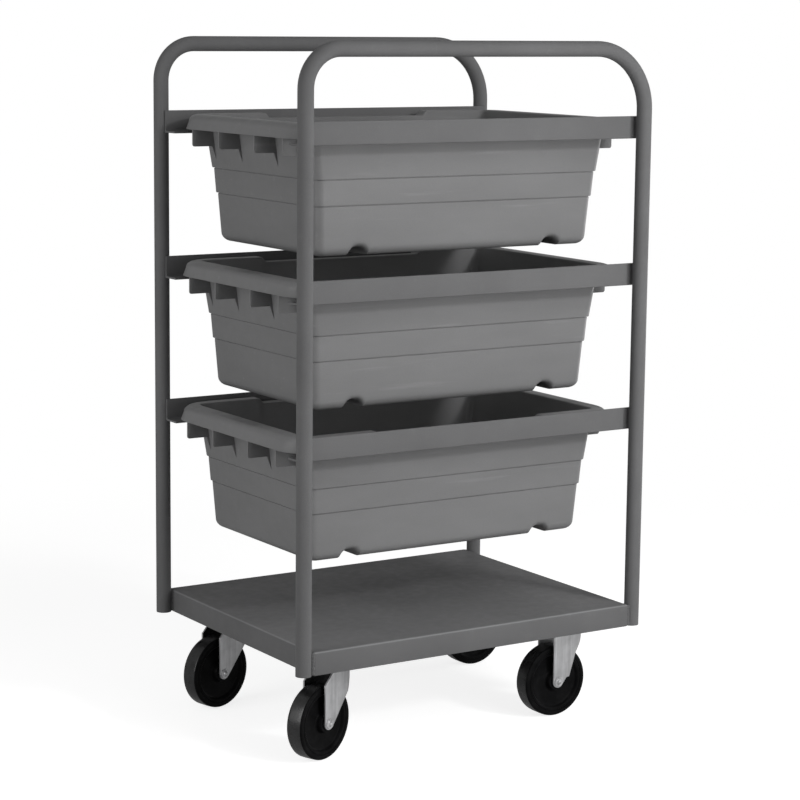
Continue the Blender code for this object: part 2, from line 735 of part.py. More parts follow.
def build_tub(name, rail_top, shift, material):
    """A tapered tub with two stepped bands, a rolled rim and ribs; shift slides it along X."""
    web = TUB_HEIGHT - TUB_WALL
    lip_bottom = TUB_HEIGHT - TUB_LIP
    rim_x = TUB_LENGTH / 2
    rim_y = TUB_WIDTH / 2
    roll_z = TUB_HEIGHT - RIM_ROLL

    def body(z, inset, steps_above, dip=0.0):
        drawn_in = TUB_STEP * steps_above + inset
        half_x = tub_wall_x(web - z) - drawn_in
        half_y = TUB_BODY_HALF_Y - TUB_SIDE_DRAFT * (web - z) - drawn_in
        return tub_ring(half_x, half_y, TUB_BODY_CORNER - inset / 2, z, dip)

    def stepped(inset):
        """The wall's two steps from the lower one up."""
        return [
            body(TUB_LOW_STEP, inset, 2),
            body(TUB_LOW_STEP + TUB_STEP, inset, 1),
            body(TUB_HIGH_STEP, inset, 1),
            body(TUB_HIGH_STEP + TUB_STEP, inset, 0),
        ]

    def rim(z, inset, dip=DIP_DEPTH):
        corner = RIM_CORNER - inset / 2
        return tub_ring(rim_x - inset, rim_y - inset, corner, z, dip)

    def rolled(wall):
        """The rim's outer face from its lower edge up, or its inner face, a wall inside it."""
        loops = [rim(lip_bottom, wall, 0.0)]
        for step in range(RIM_ROLL_STEPS + 1):
            angle = math.pi / 2 * step / RIM_ROLL_STEPS
            reach = RIM_ROLL - wall
            inset = wall + RIM_FLARE + reach * (1 - math.cos(angle))
            loops.append(rim(roll_z + reach * math.sin(angle), inset))
        return loops

    loops = []
    for step in range(TUB_BASE_STEPS + 1):
        angle = math.pi / 2 * step / TUB_BASE_STEPS
        inset = TUB_BASE_RADIUS * (1 - math.sin(angle))
        loops.append(body(TUB_BASE_RADIUS * (1 - math.cos(angle)), inset, 2))
    loops += stepped(0.0)
    loops.append(body(web, 0.0, 0, DIP_DEPTH))
    loops += rolled(TUB_WALL)[::-1]
    loops += rolled(0.0)
    loops.append(body(TUB_HEIGHT, TUB_WALL, 0, DIP_DEPTH))
    loops += stepped(TUB_WALL)[::-1]
    loops += [
        body(TUB_WALL + TUB_BASE_RADIUS, TUB_WALL, 2),
        body(TUB_WALL, TUB_WALL + TUB_BASE_RADIUS / 2, 2),
    ]
    seat = rail_top - RAIL_LEG + RAIL_THICKNESS + GAP
    place = (shift, 0, seat - lip_bottom)
    bm = bmesh.new()
    loft(bm, loops)
    tub = make_object(name, bm, material, location=place)
    ribs = bmesh.new()
    for end in (-1, 1):
        for y in (-RIB_OUTER_Y, -RIB_INNER_Y, RIB_INNER_Y, RIB_OUTER_Y):
            add_rib(ribs, end, y)
    apply_boolean(tub, make_cutter(name + "_ribs", ribs, location=place), "UNION")
    return tub


def main():
    clear_scene()
    materials = {
        "paint": make_material("grey_powder_coat", (0.15, 0.15, 0.155), 0.45, 0.0),
        "plastic": make_material("grey_tub_plastic", (0.20, 0.20, 0.205), 0.5, 0.0),
        "zinc": make_material("zinc_plate", (0.60, 0.60, 0.61), 0.35, 1.0),
        "steel": make_material("bright_steel", (0.55, 0.55, 0.56), 0.3, 1.0),
        "rubber": make_material("black_hard_rubber", (0.015, 0.015, 0.016), 0.45, 0.0),
    }
    for side_name, side in (("front", -1), ("rear", 1)):
        build_u_frame(f"{side_name}_u_frame", side * HALF_Y, materials["paint"])
        for tier, top in RAIL_TOPS.items():
            build_rail(f"{side_name}_{tier}_rail", side, top, materials["paint"])
    build_deck(materials["paint"])
    build_channel("left_cross_channel", -SWIVEL_X, materials["paint"])
    build_channel("right_cross_channel", RIGID_X, materials["paint"])
    build_tub("bottom_tub", RAIL_TOPS["bottom"], BOTTOM_TUB_SHIFT, materials["plastic"])
    build_tub("middle_tub", RAIL_TOPS["middle"], MIDDLE_TUB_SHIFT, materials["plastic"])
    build_tub("top_tub", RAIL_TOPS["top"], TOP_TUB_SHIFT, materials["plastic"])
    build_swivel_caster("front", -CASTER_Y, FRONT_SWIVEL_TURN, materials)
    build_swivel_caster("rear", CASTER_Y, REAR_SWIVEL_TURN, materials)
    build_rigid_caster("front", -CASTER_Y, 0.0, materials)
    build_rigid_caster("rear", CASTER_Y, math.pi, materials)


main()
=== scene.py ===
"""Dresses the tub rack cart: tube frames, angle rails, deck, tubs and casters, with their
finishes, on a plain studio floor. Metres, +Z up; the front side faces -Y.
"""

import json
import math
from functools import cache
from itertools import product

import bmesh
import bpy
from mathutils import Matrix, Vector


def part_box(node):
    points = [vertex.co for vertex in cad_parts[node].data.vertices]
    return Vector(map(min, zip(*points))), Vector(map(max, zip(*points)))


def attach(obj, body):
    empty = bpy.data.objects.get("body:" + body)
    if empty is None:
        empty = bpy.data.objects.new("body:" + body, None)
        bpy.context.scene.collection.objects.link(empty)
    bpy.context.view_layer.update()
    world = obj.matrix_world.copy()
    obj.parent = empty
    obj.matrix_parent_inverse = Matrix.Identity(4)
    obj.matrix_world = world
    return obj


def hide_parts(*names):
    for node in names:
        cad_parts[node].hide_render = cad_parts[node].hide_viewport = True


bl_info = {
    "name": "Tub rack cart",
    "version": (1, 0, 0),
    "blender": (4, 5, 0),
    "location": "3D View > Sidebar > Tub rack cart",
    "description": "Builds the dressed tub rack cart piece by piece",
    "category": "Object",
}

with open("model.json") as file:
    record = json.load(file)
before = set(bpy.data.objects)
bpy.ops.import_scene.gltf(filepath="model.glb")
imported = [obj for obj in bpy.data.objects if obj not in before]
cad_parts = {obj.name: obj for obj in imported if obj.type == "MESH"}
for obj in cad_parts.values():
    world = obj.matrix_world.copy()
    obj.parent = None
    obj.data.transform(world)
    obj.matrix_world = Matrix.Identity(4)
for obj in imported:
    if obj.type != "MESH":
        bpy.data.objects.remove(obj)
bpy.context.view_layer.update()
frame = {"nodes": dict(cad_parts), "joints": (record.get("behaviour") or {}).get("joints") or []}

SETTINGS = "tub_rack_cart"
SIDES = ("front", "rear")
TIERS = ("bottom", "middle", "top")
# Which way along Y leads from a side to the middle of the cart
INWARD = {"front": 1, "rear": -1}
JOINTS = {joint["name"]: joint for joint in frame["joints"]}
CREASE_ANGLE = math.radians(32)
SOFTEN_ANGLE = math.radians(40)
# Gaps left between two solids that would touch, and round a bolt in its hole
GAP = 0.0003
BORE_GAP = 0.0004

# Finishes made so far, by name
finishes = {}
# A carried-over node's finish goes by the first of these words in its name
FINISH_WORDS = {
    "tub": "plastic",
    "wheel": "rubber",
    "sleeve": "steel",
    "ball": "steel",
    "swivel": "zinc",
    "rigid": "zinc",
}


def box_size(node):
    low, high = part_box(node)
    return high - low


def box_middle(node):
    low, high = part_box(node)
    return (low + high) / 2


# ---- sizes and colours


def length(name, description, default):
    """A size in metres that a user may change."""
    return bpy.props.FloatProperty(
        name=name, description=description, default=default, unit="LENGTH", precision=4
    )


def angle(name, description, default):
    return bpy.props.FloatProperty(
        name=name, description=description, default=default, unit="ROTATION"
    )


def colour(name, description, default):
    return bpy.props.FloatVectorProperty(
        name=name, description=description, default=default, subtype="COLOR", min=0, max=1
    )


def share(name, description, default):
    return bpy.props.FloatProperty(
        name=name, description=description, default=default, min=0, max=1, subtype="FACTOR"
    )


def group_of(kind, name, description):
    return bpy.props.PointerProperty(type=kind, name=name, description=description)


class CART_PG_frame(bpy.types.PropertyGroup):
    tube_radius: length(
        "Tube radius", "Outside radius of the frame tube", box_size("front_u_frame").y / 2
    )
    tube_wall: length("Tube wall", "Wall of the frame tube", 0.0021)
    left_bend: length("Left bend", "Centre-line radius of the bends at the swivel end", 0.063)
    right_bend: length("Right bend", "Centre-line radius of the bends at the rigid end", 0.102)
    rail_thickness: length("Rail thickness", "Thickness of the angle rails", 0.0032)
    rail_toe: length("Rail toe radius", "Rounding of the edges of the angle rails", 0.0012)
    rail_root: length("Rail root radius", "Fillet in the corner of the angle rails", 0.003)
    deck_sheet: length("Deck sheet", "Thickness of the deck sheet", 0.0019)
    deck_bend: length("Deck bend", "Outside radius of the deck's folded edges", 0.0042)
    bead_radius: length("Weld bead", "Half width of a weld bead", 0.0022)
    corner_bead: length("Corner bead", "Half width of the beads at the deck's corners", 0.0040)
    bead_pitch: length("Weld ripple", "Distance between two ripples of a weld", 0.0017)


class CART_PG_tub(bpy.types.PropertyGroup):
    wall: length("Tub wall", "Thickness of a tub's wall", 0.003)
    lip: length("Lip height", "Height of the turned-down rim", 0.0296)
    rim_reach: length("Rim reach", "How far the end rims reach past the solid's ends", 0.0110)
    overhang: length("End overhang", "How far an end rim stands out from its wall", 0.0355)
    body_width: length("Body width", "Width of the body under the rim", 0.3795)
    end_lip_rise: length("End lip rise", "How much shallower the rim is at the ends", 0.0046)
    end_flare: share("End flare", "Slope of the end walls above the upper step", 0.14)
    end_draft: share("End draft", "Slope of the end walls below the upper step", 0.055)
    side_draft: share("Side draft", "Slope of the long walls", 0.08)
    step: length("Step", "How far each band of the wall stands out from the one below", 0.0022)
    low_step: length("Lower step", "Height of the lower step above the base", 0.083)
    high_step: length("Upper step", "Height of the upper step above the base", 0.126)
    base_radius: length("Base radius", "Rounding between wall and base", 0.014)
    body_corner: length("Body corner", "Radius of the upright corners", 0.014)
    rim_corner: length("Rim corner", "Radius of the rim's corners", 0.060)
    dip: length("Grip dip", "How far the long rims are lowered in the middle", 0.009)
    notch_height: length("Notch height", "Height of the arched notches in the base", 0.0135)
    notch_width: length("Notch width", "Half width of the arched notches", 0.0195)
    notch_place: length("Notch place", "Distance of the notches from the middle", 0.193)
    rib_drop: length("Rib drop", "How far the ribs hang below the end rims", 0.024)
    rib_thickness: length("Rib thickness", "Thickness of the ribs", 0.003)


class CART_PG_caster(bpy.types.PropertyGroup):
    fork_sheet: length("Fork sheet", "Thickness of the fork's sheet", 0.003)
    fork_inside: length("Fork inside", "Clear width between the legs", 0.043)
    foot_radius: length("Foot radius", "Radius of a leg's round foot", 0.0105)
    crown_radius: length("Crown radius", "Radius of the swivel fork's crown", 0.031)
    hub_radius: length("Hub radius", "Radius of a wheel's hub", 0.0165)
    tread_width: length("Tread width", "Width of a wheel's tread", 0.032)
    bolt_radius: length("Bolt radius", "Radius of the plate bolts", 0.004)
    bolt_head_radius: length("Bolt head", "Radius across the corners of a head", 0.0075)
    axle_radius: length("Axle radius", "Radius of the axles", 0.0048)


class CART_PG_finish(bpy.types.PropertyGroup):
    paint: colour("Frame paint", "Grey powder coat of the frame", (0.150, 0.150, 0.152))
    plastic: colour("Tub plastic", "Grey plastic of the tubs", (0.198, 0.198, 0.200))
    zinc: colour("Zinc plate", "Zinc plate of the caster parts", (0.60, 0.60, 0.61))
    # Greased steel is also painted shade: on the swivel fork's crown and on the legs' faces towards
    # the wheel
    greased: colour("Greased steel", "Blackened steel round the swivels", (0.016, 0.016, 0.017))
    steel: colour("Bright steel", "Bare steel of balls and sleeves", (0.52, 0.52, 0.53))
    rubber: colour("Wheel rubber", "Black moulded wheels", (0.0055, 0.0055, 0.0058))
    tread: colour("Tread", "Dusty running face of the wheels", (0.013, 0.013, 0.0135))


class CART_PG_stage(bpy.types.PropertyGroup):
    camera_place: bpy.props.FloatVectorProperty(
        name="Camera place",
        description="Where the camera stands",
        default=(-2.2278, -3.4904, 1.2175),
        subtype="TRANSLATION",
    )
    camera_yaw: angle("Camera yaw", "Turn of the view to the right of +Y", 0.5689)
    camera_pitch: angle("Camera pitch", "How far the camera looks down", 0.1590)
    camera_roll: angle("Camera roll", "Lean of the camera", 0.0104)
    lens: bpy.props.FloatProperty(
        name="Lens", description="Focal length in millimetres", default=107.85, min=1
    )
    floor_colour: colour("Floor", "Colour of the floor", (0.50, 0.50, 0.50))
    floor_glow: share("Floor glow", "How light the floor's deepest shadow looks", 0.80)
    world_level: share("World level", "Light from all round", 0.22)
    mirror_level: share("Mirror level", "How white the surroundings look in reflections", 0.20)


class CART_PG_all(bpy.types.PropertyGroup):
    frame: group_of(CART_PG_frame, "Frame", "Frame sizes")
    tub: group_of(CART_PG_tub, "Tubs", "Tub sizes")
    caster: group_of(CART_PG_caster, "Casters", "Caster sizes")
    finish: group_of(CART_PG_finish, "Finishes", "Colours of the finishes")
    stage: group_of(CART_PG_stage, "Stage", "Camera and light")


def settings():
    return getattr(bpy.context.scene, SETTINGS)


# ---- mesh helpers


def add_object(name, data):
    """A new object at the origin."""
    thing = bpy.data.objects.new(name, data)
    bpy.context.scene.collection.objects.link(thing)
    return thing


def drop(*things):
    for thing in things:
        bpy.data.objects.remove(thing, do_unlink=True)


def ring(radius, z, sides, centre=(0.0, 0.0)):
    """A level ring of points."""
    points = []
    for index in range(sides):
        turn = 2 * math.pi * index / sides
        x = centre[0] + radius * math.cos(turn)
        y = centre[1] + radius * math.sin(turn)
        points.append(Vector((x, y, z)))
    return points


def rings(profile, sides):
    """The rings of a body turned about Z from (radius, height) points."""
    return [ring(radius, z, sides) for radius, z in profile]


def arc(centre, radius, start, end, steps):
    """Points of an arc in a plane, ends included; angles in degrees."""
    points = []
    for step in range(steps + 1):
        turn = math.radians(start + (end - start) * step / steps)
        points.append((centre[0] + radius * math.cos(turn), centre[1] + radius * math.sin(turn)))
    return points


def quarter_turn(steps):
    """(1 - cosine, sine) pairs of a quarter turn in even steps."""
    turns = [math.pi / 2 * step / steps for step in range(steps + 1)]
    return [(1 - math.cos(turn), math.sin(turn)) for turn in turns]


def corner_points(half_x, half_y, radius, z, quarter, steps):
    """The rounded corner of a level rectangle in a quarter, counted on from +X +Y."""
    sign_x, sign_y = ((1, 1), (-1, 1), (-1, -1), (1, -1))[quarter]
    points = []
    for step in range(steps + 1):
        turn = math.pi / 2 * (quarter + step / steps)
        x = sign_x * (half_x - radius) + radius * math.cos(turn)
        y = sign_y * (half_y - radius) + radius * math.sin(turn)
        points.append(Vector((x, y, z)))
    return points


def rounded_loop(half_x, half_y, radius, z):
    """A rounded rectangle about the origin."""
    loop = []
    for quarter in range(4):
        loop += corner_points(half_x, half_y, radius, z, quarter, 6)
    return loop


def smooth_step(low, high, value):
    """0 below low, 1 above high, and an even curve between."""
    t = min(max((value - low) / (high - low), 0.0), 1.0)
    return t * t * (3 - 2 * t)


def loft(bm, loops, closed=False):
    """Joins loops of as many points each; closed joins the last to the first."""
    rows = [[bm.verts.new(point) for point in loop] for loop in loops]
    pairs = list(zip(rows, rows[1:]))
    if closed:
        pairs.append((rows[-1], rows[0]))
    else:
        bm.faces.new(rows[0])
        bm.faces.new(rows[-1])
    for low, high in pairs:
        for index in range(len(low)):
            after = (index + 1) % len(low)
            bm.faces.new((low[index], low[after], high[after], high[index]))


def plain_object(name, bm):
    """Turns the mesh being built into an object as it is."""
    mesh = bpy.data.meshes.new(name)
    bm.to_mesh(mesh)
    bm.free()
    return add_object(name, mesh)


def mesh_object(name, bm, place=None):
    """Turns the mesh being built into an object, with doubles merged and faces outwards."""
    if place is not None:
        bm.transform(place)
    bmesh.ops.remove_doubles(bm, verts=bm.verts, dist=1e-7)
    bmesh.ops.recalc_face_normals(bm, faces=bm.faces)
    return plain_object(name, bm)


def lofted(name, loops, closed=False, place=None):
    """An object made from loops."""
    bm = bmesh.new()
    loft(bm, loops, closed)
    return mesh_object(name, bm, place)


def joined(name, parts, place=None):
    """One object from several, which are removed."""
    bm = bmesh.new()
    for part in parts:
        bm.from_mesh(part.data)
    drop(*parts)
    if place is not None:
        bm.transform(place)
    return plain_object(name, bm)


def settle(thing):
    """Applies every modifier of a piece, so that only its plain mesh is left."""
    bpy.context.view_layer.update()
    graph = bpy.context.evaluated_depsgraph_get()
    mesh = bpy.data.meshes.new_from_object(thing.evaluated_get(graph))
    thing.modifiers.clear()
    if thing.type == "MESH":
        thing.data = mesh
        return thing
    plain = add_object(thing.name, mesh)
    drop(thing)
    return plain


def soften(thing, width):
    """Rounds the sharp edges of a piece."""
    bevel = thing.modifiers.new("soften", "BEVEL")
    bevel.width = width
    bevel.segments = 2
    bevel.limit_method = "ANGLE"
    bevel.angle_limit = SOFTEN_ANGLE
    return settle(thing)


def finish_piece(thing, finish, body, nodes=(), second=None):
    """Gives a piece its finish (a second one where marked), its body and its nodes."""
    mesh = thing.data
    marks = [polygon.material_index for polygon in mesh.polygons]
    mesh.materials.clear()
    mesh.materials.append(finishes[finish])
    if second:
        mesh.materials.append(finishes[second])
        mesh.polygons.foreach_set("material_index", marks)
    mesh.shade_smooth()
    mesh.set_sharp_from_angle(angle=CREASE_ANGLE)
    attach(thing, body)
    if nodes:
        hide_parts(*nodes)


# ---- node helpers


def add_node(tree, kind, links=None, **values):
    """Adds a node with its own values. Links give each input a value, a socket, or another node,
    which stands for its first output.
    """
    node = tree.nodes.new(kind)
    for key, value in values.items():
        setattr(node, key, value)
    for label, source in (links or {}).items():
        if isinstance(source, bpy.types.Node):
            source = source.outputs[0]
        if isinstance(source, bpy.types.NodeSocket):
            tree.links.new(source, node.inputs[label])
        else:
            node.inputs[label].default_value = source
    return node


def arithmetic(tree, operation, first, second):
    return add_node(tree, "ShaderNodeMath", {0: first, 1: second}, operation=operation)


def new_tree(name, sockets):
    """A geometry tree with geometry in and out and named inputs, and those inputs."""
    tree = bpy.data.node_groups.new(name, "GeometryNodeTree")
    for label, (kind, value) in {"Geometry": ("Geometry", None), **sockets}.items():
        socket = tree.interface.new_socket(label, in_out="INPUT", socket_type=f"NodeSocket{kind}")
        if value is not None:
            socket.default_value = value
    tree.interface.new_socket("Finish", in_out="INPUT", socket_type="NodeSocketMaterial")
    tree.interface.new_socket("Geometry", in_out="OUTPUT", socket_type="NodeSocketGeometry")
    return tree, tree.nodes.new("NodeGroupInput").outputs


def close_tree(tree, given, geometry):
    """Ends a tree in Realize Instances and Set Material."""
    plain = add_node(tree, "GeometryNodeRealizeInstances", {"Geometry": geometry})
    links = {"Geometry": plain, "Material": given["Finish"]}
    painted = add_node(tree, "GeometryNodeSetMaterial", links)
    add_node(tree, "NodeGroupOutput", {"Geometry": painted})
    return tree


def place_copies(tree, given, label, links):
    """Puts the object of an input at points, and ends the tree."""
    copy = add_node(tree, "GeometryNodeObjectInfo", {"Object": given[label]})
    links["Instance"] = copy.outputs["Geometry"]
    return close_tree(tree, given, add_node(tree, "GeometryNodeInstanceOnPoints", links))


@cache
def tube_tree():
    """Fillets a poly curve, each end to its own radius, and sweeps a round profile along it."""
    sockets = {
        "Left bend": ("Float", 0.063),
        "Right bend": ("Float", 0.102),
        "Tube radius": ("Float", 0.0133),
        "Bend steps": ("Int", 20),
        "Sides": ("Int", 48),
    }
    tree, given = new_tree("bent_tube", sockets)
    place = add_node(tree, "GeometryNodeInputPosition")
    links = {0: add_node(tree, "ShaderNodeSeparateXYZ", {0: place}).outputs["X"], 1: 0.0}
    is_right = add_node(tree, "FunctionNodeCompare", links, operation="GREATER_THAN")
    links = {"Switch": is_right, "False": given["Left bend"], "True": given["Right bend"]}
    bend = add_node(tree, "GeometryNodeSwitch", links, input_type="FLOAT")
    links = {"Curve": given["Geometry"], "Count": given["Bend steps"], "Radius": bend}
    fillet = add_node(tree, "GeometryNodeFilletCurve", links, mode="POLY")
    links = {"Resolution": given["Sides"], "Radius": given["Tube radius"]}
    profile = add_node(tree, "GeometryNodeCurvePrimitiveCircle", links)
    links = {"Curve": fillet, "Profile Curve": profile}
    return close_tree(tree, given, add_node(tree, "GeometryNodeCurveToMesh", links))


@cache
def bead_tree():
    """Lays overlapping ripples along the edges of a mesh."""
    sockets = {
        "Ripple": ("Object", None),
        "Pitch": ("Float", 0.0017),
        "Uneven": ("Float", 0.12),
        "Seed": ("Int", 7),
    }
    tree, given = new_tree("weld_bead", sockets)
    path = add_node(tree, "GeometryNodeMeshToCurve", {"Mesh": given["Geometry"]})
    links = {"Curve": path, "Length": given["Pitch"]}
    spaced = add_node(tree, "GeometryNodeResampleCurve", links, mode="LENGTH")
    tangent = add_node(tree, "GeometryNodeInputTangent")
    facing = add_node(tree, "FunctionNodeAlignRotationToVector", {"Vector": tangent}, axis="Z")
    low = arithmetic(tree, "SUBTRACT", 1.0, given["Uneven"])
    high = arithmetic(tree, "ADD", 1.0, given["Uneven"])
    links = {2: low, 3: high, "Seed": given["Seed"]}
    size = add_node(tree, "FunctionNodeRandomValue", links, data_type="FLOAT").outputs[1]
    links = {"Points": spaced, "Rotation": facing, "Scale": size}
    return place_copies(tree, given, "Ripple", links)


@cache
def repeat_tree():
    """Puts a copy of one object at each point, turned about Z by the attribute turn."""
    tree, given = new_tree("repeat_at_points", {"Copy": ("Object", None)})
    turn = add_node(tree, "GeometryNodeInputNamedAttribute", {"Name": "turn"}, data_type="FLOAT")
    about_z = add_node(tree, "ShaderNodeCombineXYZ", {"Z": turn})
    rotation = add_node(tree, "FunctionNodeEulerToRotation", {"Euler": about_z})
    return place_copies(tree, given, "Copy", {"Points": given["Geometry"], "Rotation": rotation})


def run_tree(thing, tree, values):
    """Runs a geometry tree on an object and keeps only its plain mesh."""
    modifier = thing.modifiers.new(tree.name, "NODES")
    modifier.node_group = tree
    for item in tree.interface.items_tree:
        if item.in_out == "INPUT" and item.name in values:
            modifier[item.identifier] = values[item.name]
    return settle(thing)


def repeat(name, copy, places, finish):
    """One mesh with a copy at each (x, y, z, turn) place, in place of the copy."""
    mesh = bpy.data.meshes.new(name)
    mesh.from_pydata([place[:3] for place in places], [], [])
    turns = mesh.attributes.new("turn", "FLOAT", "POINT")
    turns.data.foreach_set("value", [place[3] for place in places])
    values = {"Copy": copy, "Finish": finishes[finish]}
    thing = run_tree(add_object(name, mesh), repeat_tree(), values)
    drop(copy)
    return thing


# ---- finishes


class Paintbox:
    """A material with the nodes that every finish here starts from."""

    def __init__(self, name):
        self.material = bpy.data.materials.new(name)
        self.material.use_nodes = True
        self.tree = self.material.node_tree
        self.shader = self.tree.nodes["Principled BSDF"]
        self.place = self.tree.nodes.new("ShaderNodeTexCoord").outputs["Object"]

    def noise(self, scale, detail=2.0, roughness=0.5, stretch=None):
        """Noise from 0 to 1, drawn out along an axis where its stretch is below 1."""
        place = self.place
        if stretch:
            place = add_node(self.tree, "ShaderNodeMapping", {"Vector": place, "Scale": stretch})
        links = {"Vector": place, "Scale": scale, "Detail": detail, "Roughness": roughness}
        return add_node(self.tree, "ShaderNodeTexNoise", links)

    def between(self, value, low, high, from_low=0.3, from_high=0.7):
        """Maps a value to a range, kept inside it."""
        links = {"Value": value, "From Min": from_low, "From Max": from_high}
        links |= {"To Min": low, "To Max": high}
        return add_node(self.tree, "ShaderNodeMapRange", links)

    def mottle(self, low, high, scale, detail, roughness=0.5, stretch=None, window=(0.3, 0.7)):
        """A factor that wanders from low to high as its noise crosses the window."""
        return self.between(self.noise(scale, detail, roughness, stretch), low, high, *window)

    def level_band(self, low, high, inside):
        """inside between two heights, 1 outside them, with soft limits."""
        height = add_node(self.tree, "ShaderNodeSeparateXYZ", {0: self.place}).outputs["Z"]
        soft = 0.0005
        rise = self.between(height, 0.0, inside - 1.0, low - soft, low + soft)
        fall = self.between(height, 0.0, 1.0 - inside, high - soft, high + soft)
        return arithmetic(self.tree, "ADD", arithmetic(self.tree, "ADD", rise, fall), 1.0)

    def tinted(self, base, level, *factors):
        """The base colour made lighter or darker by each factor."""
        for factor in factors:
            level = arithmetic(self.tree, "MULTIPLY", level, factor)
        links = {0: tuple(base), "Scale": level}
        node = add_node(self.tree, "ShaderNodeVectorMath", links, operation="SCALE")
        self.tree.links.new(node.outputs["Vector"], self.shader.inputs["Base Color"])

    def rough(self, value):
        self.tree.links.new(value.outputs[0], self.shader.inputs["Roughness"])

    def bump(self, height, strength, distance, below=None):
        links = {"Height": height, "Strength": strength, "Distance": distance}
        if below:
            links["Normal"] = below
        return add_node(self.tree, "ShaderNodeBump", links)

    def done(self, normal, metallic=0.0, specular=0.5):
        self.tree.links.new(normal.outputs["Normal"], self.shader.inputs["Normal"])
        self.shader.inputs["Metallic"].default_value = metallic
        self.shader.inputs["Specular IOR Level"].default_value = specular
        return self.material


# How far below a folded edge its painted highlight line starts and ends, and how much lighter it is
# painted
PAINTED_HIGHLIGHT_LINE = (0.0003, 0.0022)
PAINTED_HIGHLIGHT_LEVEL = 1.55


def powder_coat(base, name="grey_powder_coat", edge=None):
    """Grey powder coat: orange peel, clouds, specks, rubbed patches and a painted highlight along a
    folded edge.
    """
    paint = Paintbox(name)
    clouds = paint.mottle(0.93, 1.07, 7.0, 3.0)
    specks = paint.mottle(0.94, 1.06, 950.0, 1.0)
    rubbed = paint.mottle(1.0, 1.08, 38.0, 6.0, 0.62, window=(0.60, 0.74))
    scratched = paint.mottle(1.0, 1.06, 55.0, 4.0, 0.6, (1.0, 1.0, 0.06), (0.66, 0.74))
    shades = [clouds, specks, rubbed, scratched]
    # Painted highlight: a lighter band of paint just under the folded edge, standing in for the
    # light the fold catches
    if edge is not None:
        shades.append(paint.level_band(edge - PAINTED_HIGHLIGHT_LINE[1], edge - PAINTED_HIGHLIGHT_LINE[0], PAINTED_HIGHLIGHT_LEVEL))
    paint.tinted(base, *shades)
    paint.rough(paint.mottle(0.50, 0.66, 60.0, 4.0))
    peel = paint.bump(paint.noise(420.0), 0.22, 0.0005)
    return paint.done(paint.bump(paint.noise(26.0), 0.10, 0.001, peel), specular=0.1)


def tub_plastic(base):
    """Grey moulded plastic: fine grain, soft flow marks, faint drag marks."""
    plastic = Paintbox("grey_tub_plastic")
    flow = plastic.mottle(0.94, 1.06, 9.0, 3.0, 0.55, (0.5, 0.5, 1.6))
    grain = plastic.mottle(0.95, 1.05, 1100.0, 1.0)
    dragged = plastic.mottle(1.0, 1.14, 70.0, 5.0, 0.6, (0.05, 1.0, 1.0), (0.62, 0.72))
    plastic.tinted(base, flow, grain, dragged)
    plastic.rough(plastic.mottle(0.36, 0.50, 45.0, 4.0))
    fine = plastic.bump(plastic.noise(800.0), 0.25, 0.0003)
    return plastic.done(plastic.bump(plastic.noise(18.0), 0.14, 0.0015, fine), specular=0.3)


def zinc_plate(base):
    """Zinc plate over drawn sheet: upright drawing lines, blotches, a satin sheen."""
    zinc = Paintbox("zinc_plate")
    drawn = zinc.noise(160.0, 5.0, 0.65, (1.0, 1.0, 0.05))
    zinc.tinted(base, zinc.between(drawn, 0.80, 1.12), zinc.mottle(0.90, 1.08, 60.0, 4.0))
    zinc.rough(zinc.between(drawn, 0.34, 0.52))
    ridges = zinc.bump(drawn, 0.30, 0.0006)
    return zinc.done(zinc.bump(zinc.noise(120.0), 0.12, 0.0006, ridges), metallic=0.72)


def greased_steel(base):
    """Blackened steel under a film of grease, with dust caught in it; inside the swivel forks it is
    painted shade.
    """
    steel = Paintbox("greased_steel")
    steel.tinted(base, steel.mottle(0.7, 2.2, 160.0, 5.0, 0.6, window=(0.45, 0.80)))
    steel.rough(steel.mottle(0.22, 0.55, 210.0, 4.0))
    return steel.done(steel.bump(steel.noise(340.0, 3.0), 0.35, 0.0005), specular=0.12)


def bright_steel(base):
    """Bare turned steel with fine rings and a thin film of oil."""
    steel = Paintbox("bright_steel")
    steel.tinted(base, steel.mottle(0.86, 1.10, 220.0, 4.0))
    steel.rough(steel.mottle(0.20, 0.36, 400.0, 3.0))
    return steel.done(steel.bump(steel.noise(900.0), 0.12, 0.0002), metallic=0.95)


def wheel_rubber(base):
    """Black moulded wheel: dull skin, faint dust and scuffs."""
    rubber = Paintbox("black_wheel_rubber")
    dust = rubber.mottle(0.75, 1.6, 48.0, 5.0, 0.6, window=(0.40, 0.72))
    specks = rubber.mottle(0.75, 1.35, 700.0, 2.0, window=(0.35, 0.75))
    rubber.tinted(base, dust, specks)
    rubber.rough(rubber.mottle(0.30, 0.46, 90.0, 4.0))
    skin = rubber.bump(rubber.noise(600.0), 0.22, 0.0004)
    return rubber.done(rubber.bump(rubber.noise(70.0), 0.10, 0.001, skin), specular=0.05)


def worn_tread(base):
    """The wheel's running face: scuffed, with floor dust pressed into it."""
    tread = Paintbox("worn_tread")
    dust = tread.mottle(0.45, 1.8, 75.0, 6.0, 0.65, window=(0.35, 0.72))
    pits = tread.mottle(0.7, 1.3, 520.0, 3.0, window=(0.35, 0.7))
    tread.tinted(base, dust, pits)
    tread.rough(tread.mottle(0.20, 0.40, 60.0, 4.0))
    return tread.done(tread.bump(tread.noise(300.0, 4.0), 0.30, 0.0005))


FINISH_MAKERS = {
    "paint": powder_coat,
    "plastic": tub_plastic,
    "zinc": zinc_plate,
    "steel": bright_steel,
    "rubber": wheel_rubber,
    "tread": worn_tread,
    "greased": greased_steel,
}


